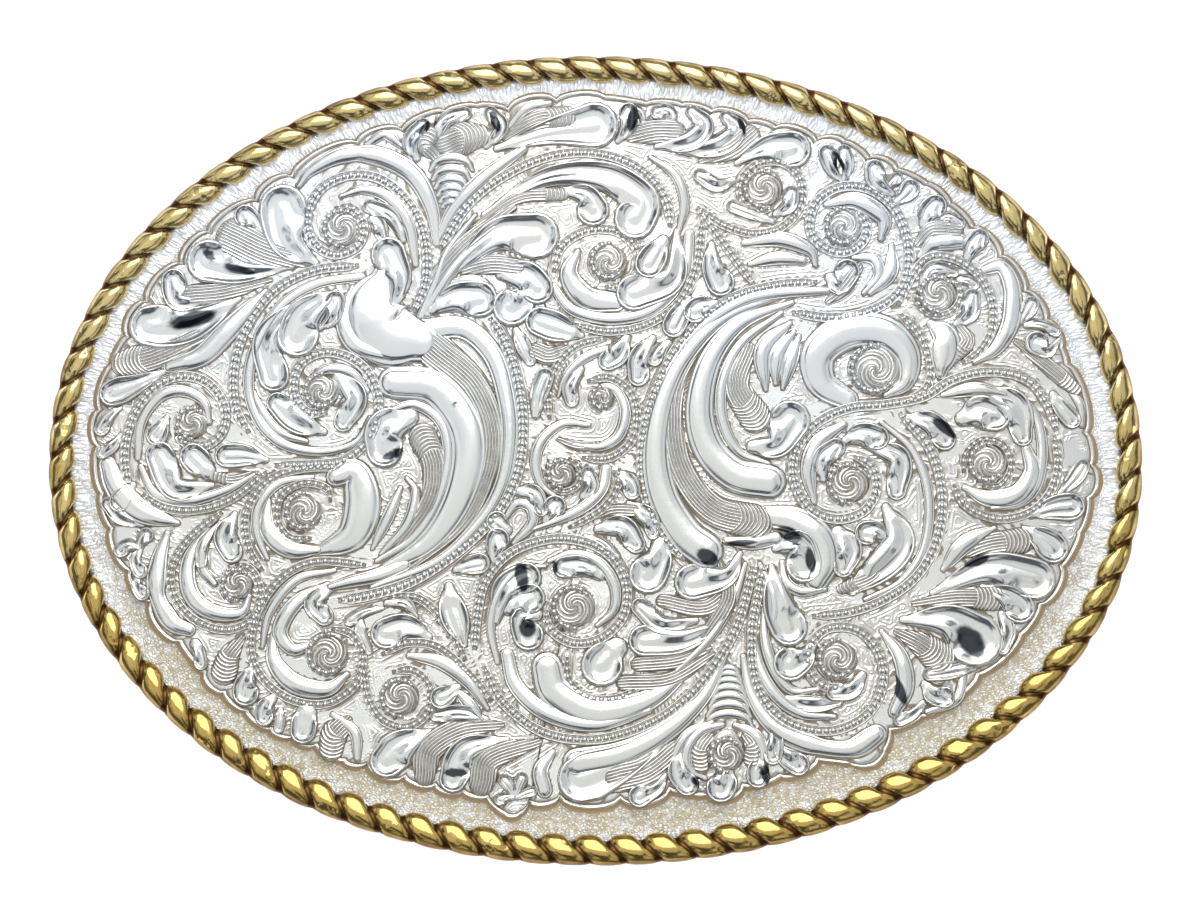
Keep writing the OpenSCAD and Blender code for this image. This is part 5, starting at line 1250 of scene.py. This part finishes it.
def ground_silver(name):
    """The hammered border: cells drawn out across the border near the rope and fine further in, with
    brown oxide in the cracks between them."""
    look = bpy.context.scene.buckle_look
    material, g = new_graph(name)
    along, across = g.surface()
    near_rope = 1 - across.rise(1.4, 2.6)
    down = g.lower(-26, 8)
    long_cells = g.cracks(along, across, 0.4, 1.2)
    bent = g.noise(1500, 1.0) * 0.5
    fine_cells = g.cracks(along + bent, across - bent, 0.36, 0.28)
    near_rope = near_rope * (1 - down * 0.6)
    cells = long_cells * near_rope + fine_cells * (1 - near_rope)
    high = g.attribute("edge")
    worn = g.noise(700, 3.0)
    cracks = 1 - cells.rise(0.04, 0.2 + down * 0.08)
    inside = across.rise(1.0, 1.7) * 0.7 + 0.3
    low = 1 - (high * 0.8 + worn * 0.4).rise(0.25, 0.5)
    oxide = (cracks * (0.1 + worn.rise(0.42, 0.56) * 0.5 + down * inside * 0.6) + low * 0.05).rise(0.1, 1.0)
    pale = g.mix(down * inside * g.noise(2600, 1.0).rise(0.4, 0.6), look.ground, look.low_ground)
    colour = g.mix(oxide * 0.9, pale, g.mix(down, look.oxide, look.warm_oxide))
    g.metal(colour, 0.4 + oxide * 0.2, 0.8 - oxide * 0.4, g.bump(cells.rise(0.0, 0.4) + worn * 0.2, 0.00006))
    return material


def gold(name):
    """Gold with brown oxide deep between the strands, and painted shade along the rope's outer side."""
    look = bpy.context.scene.buckle_look
    material, g = new_graph(name)
    high, outer = g.attribute("edge"), g.attribute("tone")
    mottle = g.noise(500, 3.0)
    down = g.lower(-30, 20)
    # The oxide mask holds both: oxide deep in the valleys, and painted shade along the outer side, from the
    # tone.
    oxide = ((1 - high.rise(0.05, 0.6)) * (0.8 + mottle * 0.5) + outer * (0.4 + mottle * 0.7)).rise(0.0, 1.0)
    bright = g.mix((mottle * 0.7 + down * 0.45).rise(0.3, 0.75), look.gold, look.deep_gold)
    colour = g.mix(oxide, bright, look.gold_oxide_and_shade)
    dents = g.noise(420, 2.0).rise(0.28, 0.4)
    surface = g.bump(dents + g.noise(1500, 3.0) * 0.3, 0.00007)
    g.metal(colour, 0.16 + oxide * 0.25, 1.0, surface, 1 - oxide)
    return material


def plain_metal(name, colour, roughness):
    """Plain brushed metal of the back and its fittings, with fine scratches and a soft mottle."""
    material, g = new_graph(name)
    stretched = g.add("ShaderNodeMapping", {}, {"Vector": g.places(), "Scale": (9000, 500, 2000)})
    scratches = g.add("ShaderNodeTexNoise", {}, {"Vector": stretched, "Scale": 1.0, "Detail": 3.0})
    mottle = g.noise(120, 3.0)
    shade = g.mix(mottle.rise(0.3, 0.7), colour, [c * 0.82 for c in colour[:3]])
    g.metal(shade, roughness + scratches * 0.12, 1.0, g.bump(scratches, 0.00002))
    return material


# Sizes and colours


def length(name, description, default):
    """A length in metres."""
    return bpy.props.FloatProperty(
        name=name, description=description, default=default, unit="LENGTH", precision=5
    )


def colour(name, description, default):
    """A colour."""
    return bpy.props.FloatVectorProperty(
        name=name, description=description, default=default, subtype="COLOR", size=3, min=0, max=1
    )


def number(name, description, default, low=0.0, high=1.0):
    """A plain number between two limits."""
    return bpy.props.FloatProperty(name=name, description=description, default=default, min=low, max=high)


class BuckleShape(bpy.types.PropertyGroup):
    """Sizes of the buckle. Steps and insets are the ones that the solids have."""

    bend_radius: length("Bend radius", "Radius that the plate is bent to, over the waist", 0.32)
    squareness: number("Squareness", "Squareness of the oval, where 2 is an ellipse", 2.04, 1.8, 2.4)
    ledge_thickness: length("Ledge thickness", "Thickness of the plate under the rope", 0.001)
    ground_step: length("Ground step", "Height of the ground over the ledge", 0.0009)
    ground_inset: length("Ground inset", "From the buckle's edge in to the ground's edge", 0.0017)
    ground_width: length("Ground width", "How far the ground runs in, under the medallion", 0.0066)
    medallion_step: length("Medallion step", "Height of the medallion over the ledge", 0.0015)
    strand_rise: length("Strand rise", "Height of the strands over the medallion", 0.0006)
    strand_cut: length("Strand cut", "Depth of the line along each strand", 0.00012)
    lobe_rise: length("Lobe rise", "Height of the lobes over the medallion", 0.00068)
    leaf_rise: length("Leaf rise", "Height of the hatched leaves over the medallion", 0.00045)
    eye_rise: length("Eye rise", "Height of the spiral eyes over the medallion", 0.00075)
    scoop: number("Scoop", "Share of a lobe's height that its scoop cuts away", 0.55)
    fullness: number("Fullness", "Width of strokes against their tables", 1.32, 0.5, 1.5)
    bead_pitch: length("Bead pitch", "Distance between beads on a band", 0.00068)
    bead_rise: length("Bead rise", "Height of the beads over the band", 0.0003)
    rope_thickness: length("Rope thickness", "Thickness of the rope", 0.0022)
    rope_gap: length("Rope gap", "Gap between the rope and the plate", 0.00005)
    rope_bulges: bpy.props.IntProperty(
        name="Rope bulges", description="Strands seen round the rope", default=84
    )
    wire_thickness: length("Wire thickness", "Thickness of the belt loop's wire", 0.0029)
    barrel_thickness: length("Barrel thickness", "Outer diameter of the hinge barrel", 0.0052)
    barrel_length: length("Barrel length", "Length of the hinge barrel", 0.014)
    collar_width: length("Collar width", "Diameter of the post's collar", 0.009)
    collar_height: length("Collar height", "Height of the post's collar", 0.0012)


class BuckleLook(bpy.types.PropertyGroup):
    """Finishes of the buckle."""

    silver: colour("Silver", "Bright silver", (0.92, 0.935, 0.95))
    warm_silver: colour("Warm silver", "Silver with a faint warm tint", (0.94, 0.925, 0.89))
    oxide: colour("Oxide", "Brown oxide in the grooves of the silver", (0.15, 0.115, 0.07))
    rim_oxide: colour("Rim oxide", "Brown line round the medallion", (0.3, 0.2, 0.085))
    low_silver: colour("Low silver", "Silver at the buckle's lower edge", (0.86, 0.853, 0.81))
    # Colour of the dark reflections painted on the polished silver.
    dark: colour("Dark", "What the silver mirrors in its dark spots", (0.03, 0.035, 0.045))
    ground: colour("Ground", "Pale silver of the hammered ground", (0.84, 0.87, 0.9))
    low_ground: colour("Low ground", "The hammered ground at the lower edge", (0.6, 0.57, 0.46))
    warm_oxide: colour("Warm oxide", "Oxide on the hammered ground", (0.34, 0.27, 0.15))
    gold: colour("Gold", "Bright gold of the rope", (0.84, 0.65, 0.27))
    deep_gold: colour("Deep gold", "Darker gold of the rope", (0.62, 0.415, 0.095))
    # Brown oxide between the strands, and also the painted shade along the rope's outer side.
    gold_oxide_and_shade: colour("Gold oxide", "Oxide between the rope's strands", (0.08, 0.03, 0.009))
    steel: colour("Steel", "Plain metal of the back and its fittings", (0.62, 0.62, 0.61))
    polish: number("Polish", "Roughness of the polished silver", 0.13)
    cut_oxide: number("Cut oxide", "How dark the cut lines are", 0.9)
    oxide_width: length("Oxide width", "Width of the dark line round each form", 0.00013)
    line_pitch: length("Line pitch", "Distance between cut lines", 0.0003)


class BuckleStage(bpy.types.PropertyGroup):
    """Camera, lights and floor."""

    tilt_from_below: number("Tilt from below", "Camera's lean to the lower edge, degrees", 5.0, 0, 90)
    tilt_from_right: number("Tilt from right", "Camera's lean to the right, degrees", 1.0, -90, 90)
    roll: number("Roll", "Clockwise turn of the buckle in the picture, degrees", 0.605, -90, 90)
    distance: length("Distance", "From the camera to the buckle", 1.6)
    seen_width: length("Seen width", "Width of the picture at the buckle", 0.11397)
    shift_right: number("Shift right", "Camera shift to the right, in picture widths", 0.00433, -1, 1)
    shift_up: number("Shift up", "Camera shift up, in picture widths", 0.004625, -1, 1)
    floor: colour("Floor", "Pale floor", (0.9, 0.9, 0.9))


# Operators


class BUCKLE_OT_plate(bpy.types.Operator):
    """Builds the ground, the medallion and the plain back of the plate"""

    bl_idname = "buckle.plate"
    bl_label = "Plate"

    def execute(self, context):
        look = context.scene.buckle_look
        build_ground(ground_silver("hammered silver"))
        build_medallion(silver("engraved silver", "ground"))
        build_back(plain_metal("plain plated metal", look.steel, 0.32))
        return {"FINISHED"}


class BUCKLE_OT_bands(bpy.types.Operator):
    """Builds the beaded bands"""

    bl_idname = "buckle.bands"
    bl_label = "Beaded bands"

    def execute(self, context):
        rng = np.random.default_rng(5)
        rails, beads = Patches(), Patches()
        for index, (width, points) in enumerate(BANDS):
            lift = BAND_LIFTS[index % len(BAND_LIFTS)]
            add_band(rails, width, points, lift)
            add_beads(beads, width, points, lift, rng)
        for eye in turned_eyes():
            add_beads(beads, EYE_BEAD_WIDTH, eye_spiral(*eye), EYE_BEAD_LIFT, rng)
        material = silver("band silver", "polished")
        rails.build("band_rails", material)
        beads.build("band_beads", material)
        return {"FINISHED"}


class BUCKLE_OT_strands(bpy.types.Operator):
    """Builds the smooth strands"""

    bl_idname = "buckle.strands"
    bl_label = "Strands"

    def execute(self, context):
        strands = Patches()
        add_strokes(strands, STRANDS + chevron_rows(), strand_profile)
        strands.build("strands", silver("strand silver", "polished"))
        return {"FINISHED"}


class BUCKLE_OT_lobes(bpy.types.Operator):
    """Builds the scooped lobes"""

    bl_idname = "buckle.lobes"
    bl_label = "Scooped lobes"

    def execute(self, context):
        lobes = Patches()
        add_strokes(lobes, LOBES, lobe_profile)
        lobes.build("lobes", silver("lobe silver", "polished"))
        return {"FINISHED"}


class BUCKLE_OT_leaves(bpy.types.Operator):
    """Builds the hatched leaves and the spiral eyes"""

    bl_idname = "buckle.leaves"
    bl_label = "Leaves and eyes"

    def execute(self, context):
        leaves, eyes = Patches(), Patches()
        add_strokes(leaves, LEAVES, leaf_profile)
        for eye in turned_eyes():
            add_eye(eyes, *eye)
        leaves.build("leaves", silver("cut silver", "cut"))
        eyes.build("eyes", silver("eye silver", "cut"))
        return {"FINISHED"}


class BUCKLE_OT_rope(bpy.types.Operator):
    """Builds the twisted rope edge"""

    bl_idname = "buckle.rope"
    bl_label = "Rope edge"

    def execute(self, context):
        build_rope(gold("rope gold"))
        return {"FINISHED"}


class BUCKLE_OT_fittings(bpy.types.Operator):
    """Gives the belt loop and the hook post their plain metal"""

    bl_idname = "buckle.fittings"
    bl_label = "Fittings"

    def execute(self, context):
        look = context.scene.buckle_look
        metal = plain_metal("fitting metal", look.steel, 0.24)
        for name in ("belt_loop", "hook_post"):
            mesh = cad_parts[name].data
            mesh.materials.clear()
            mesh.materials.append(metal)
        return {"FINISHED"}


class BUCKLE_OT_stage(bpy.types.Operator):
    """Builds the floor, the surroundings, the lights and the camera"""

    bl_idname = "buckle.stage"
    bl_label = "Stage"

    def execute(self, context):
        build_floor(context.scene.buckle_stage)
        build_surroundings(context.scene)
        build_lights()
        build_camera(context.scene)
        return {"FINISHED"}


# The stage

FLOOR_HALF = 3.0
# Colours of the room, as the polished metal mirrors them.
DARK_WALL, PALE_WALL, CEILING = (0.48, 0.5, 0.535), (0.91, 0.94, 0.97), (0.77, 0.79, 0.8)
PATCH, LOW_BAND = (0.02, 0.03, 0.045), (0.05, 0.055, 0.06)


def build_floor(stage):
    """A pale floor: a wide square in the plane that the buckle lies on."""
    material, g = new_graph("pale floor")
    shade = g.mix(g.noise(14, 2.0), stage.floor, [c * 0.985 for c in stage.floor])
    g.metal(shade, 0.7, 0.0, g.bump(g.noise(900), 0.00001))
    corners = [(FLOOR_HALF * x, FLOOR_HALF * y, 0) for x, y in ((-1, -1), (1, -1), (1, 1), (-1, 1))]
    mesh = bpy.data.meshes.new("floor")
    mesh.from_pydata(corners, [], [(0, 1, 2, 3)])
    mesh.materials.append(material)
    floor = bpy.data.objects.new("floor", mesh)
    bpy.context.scene.collection.objects.link(floor)


def build_surroundings(scene):
    """A white room round the buckle, light grey overhead and in places on the walls, with dark
    patches and a dark band low down for the polished metal to mirror."""
    world = bpy.data.worlds.new("white room")
    world.use_nodes = True
    scene.world = world
    g = Graph(world.node_tree)
    way = g.add("ShaderNodeTexCoord")
    _, back, up = g.split(way)
    lit = back.rise(-0.9, 0.7)
    noise = g.add("ShaderNodeTexNoise", {}, {"Vector": way, "Scale": 2.4, "Detail": 1.5})
    broad = g.add("ShaderNodeTexNoise", {}, {"Vector": way, "Scale": 1.7, "Detail": 0.0})
    patches = noise.rise(0.53, 0.56) * (1 - up.rise(0.9, 0.97)) * up.rise(0.3, 0.45)
    band = (1 - up.rise(0.35, 0.6)) * up.rise(0.0, 0.08) * noise.rise(0.34, 0.44)
    walls = g.mix(broad.rise(0.38, 0.52) * 0.65 + lit * 0.35, DARK_WALL, PALE_WALL)
    seen = g.mix(up.rise(0.88, 0.985), walls, CEILING)
    seen = g.mix(patches * 0.92, seen, PATCH)
    seen = g.mix(band * 0.85, seen, LOW_BAND)
    light = g.add("ShaderNodeBackground", {}, {"Color": seen, "Strength": 1.0})
    g.add("ShaderNodeOutputWorld", {}, {"Surface": light})


# Soft lights: columns are name, x, y, z, width, watts, and whether the metal mirrors it.
LIGHTS = [
    ["key", -0.05, 0.6, 0.95, 0.95, 5.5, True],
    ["soft key", -0.05, 0.6, 0.95, 0.95, 7.0, False],
    ["fill right", 0.8, 0.1, 0.8, 0.7, 8.0, False],
    ["fill front", 0.1, -0.8, 0.8, 0.7, 9.0, False],
    ["fill left", -0.85, -0.3, 0.8, 0.7, 7.0, False],
]


def build_lights():
    """Soft round lights that look at the buckle. Two stand at one place over its upper edge, of which
    the metal mirrors only the key, and the others stand on the other three sides."""
    for name, x, y, z, size, power, mirrored in LIGHTS:
        lamp = bpy.data.lights.new(name, "AREA")
        lamp.shape, lamp.size, lamp.energy = "DISK", size, power
        light = bpy.data.objects.new(name, lamp)
        light.location = (x, y, z)
        light.rotation_euler = Vector((-x, -y, -z)).to_track_quat("-Z", "Y").to_euler()
        light.visible_glossy = mirrored
        bpy.context.scene.collection.objects.link(light)


def build_camera(scene):
    """A long lens that looks down at the buckle, leaning a little from its lower edge and its right."""
    stage = scene.buckle_stage
    lens = bpy.data.cameras.new("camera")
    lens.lens = lens.sensor_width * stage.distance / stage.seen_width
    lens.shift_x, lens.shift_y = stage.shift_right, stage.shift_up
    lens.clip_end = 20
    tilts = (stage.tilt_from_right, stage.tilt_from_below)
    to_right, to_below = (math.tan(math.radians(tilt)) for tilt in tilts)
    lean = Vector((to_right, -to_below, 1)).normalized()
    right = Vector((0, 1, 0)).cross(lean).normalized()
    turn = Matrix((right, lean.cross(right), lean)).transposed()
    camera = bpy.data.objects.new("camera", lens)
    camera.location = Vector((0, 0, ledge_height() * MM)) + lean * stage.distance
    camera.rotation_euler = (turn @ Matrix.Rotation(math.radians(stage.roll), 3, "Z")).to_euler()
    scene.collection.objects.link(camera)
    scene.camera = camera
    scene.view_settings.view_transform = "Standard"


# The panel, and what Blender runs


class BUCKLE_PT_sidebar(bpy.types.Panel):
    """Lists the buckle's sizes, finishes and builders"""

    bl_idname = "BUCKLE_PT_sidebar"
    bl_label = "Western belt buckle"
    bl_space_type = "VIEW_3D"
    bl_region_type = "UI"
    bl_category = "Buckle"

    def draw(self, context):
        column = self.layout.column()
        for operator in OPERATORS:
            column.operator(operator.bl_idname)
        for group in (context.scene.buckle_shape, context.scene.buckle_look, context.scene.buckle_stage):
            for name in group.__annotations__:
                column.prop(group, name)


GROUPS = {"buckle_shape": BuckleShape, "buckle_look": BuckleLook, "buckle_stage": BuckleStage}
OPERATORS = (
    BUCKLE_OT_plate,
    BUCKLE_OT_bands,
    BUCKLE_OT_strands,
    BUCKLE_OT_lobes,
    BUCKLE_OT_leaves,
    BUCKLE_OT_rope,
    BUCKLE_OT_fittings,
    BUCKLE_OT_stage,
)


def register():
    """Registers the classes and hangs the groups on the scene."""
    for name, group in GROUPS.items():
        bpy.utils.register_class(group)
        setattr(bpy.types.Scene, name, bpy.props.PointerProperty(type=group))
    for item in (*OPERATORS, BUCKLE_PT_sidebar):
        bpy.utils.register_class(item)


def unregister():
    """Takes the classes and the groups away again."""
    for item in (BUCKLE_PT_sidebar, *reversed(OPERATORS)):
        bpy.utils.unregister_class(item)
    for name, group in reversed(GROUPS.items()):
        delattr(bpy.types.Scene, name)
        bpy.utils.unregister_class(group)


def main():
    """Registers the add-on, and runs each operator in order."""
    register()
    for operator in OPERATORS:
        group, name = operator.bl_idname.split(".")
        getattr(getattr(bpy.ops, group), name)()


if __name__ == "__main__":
    main()
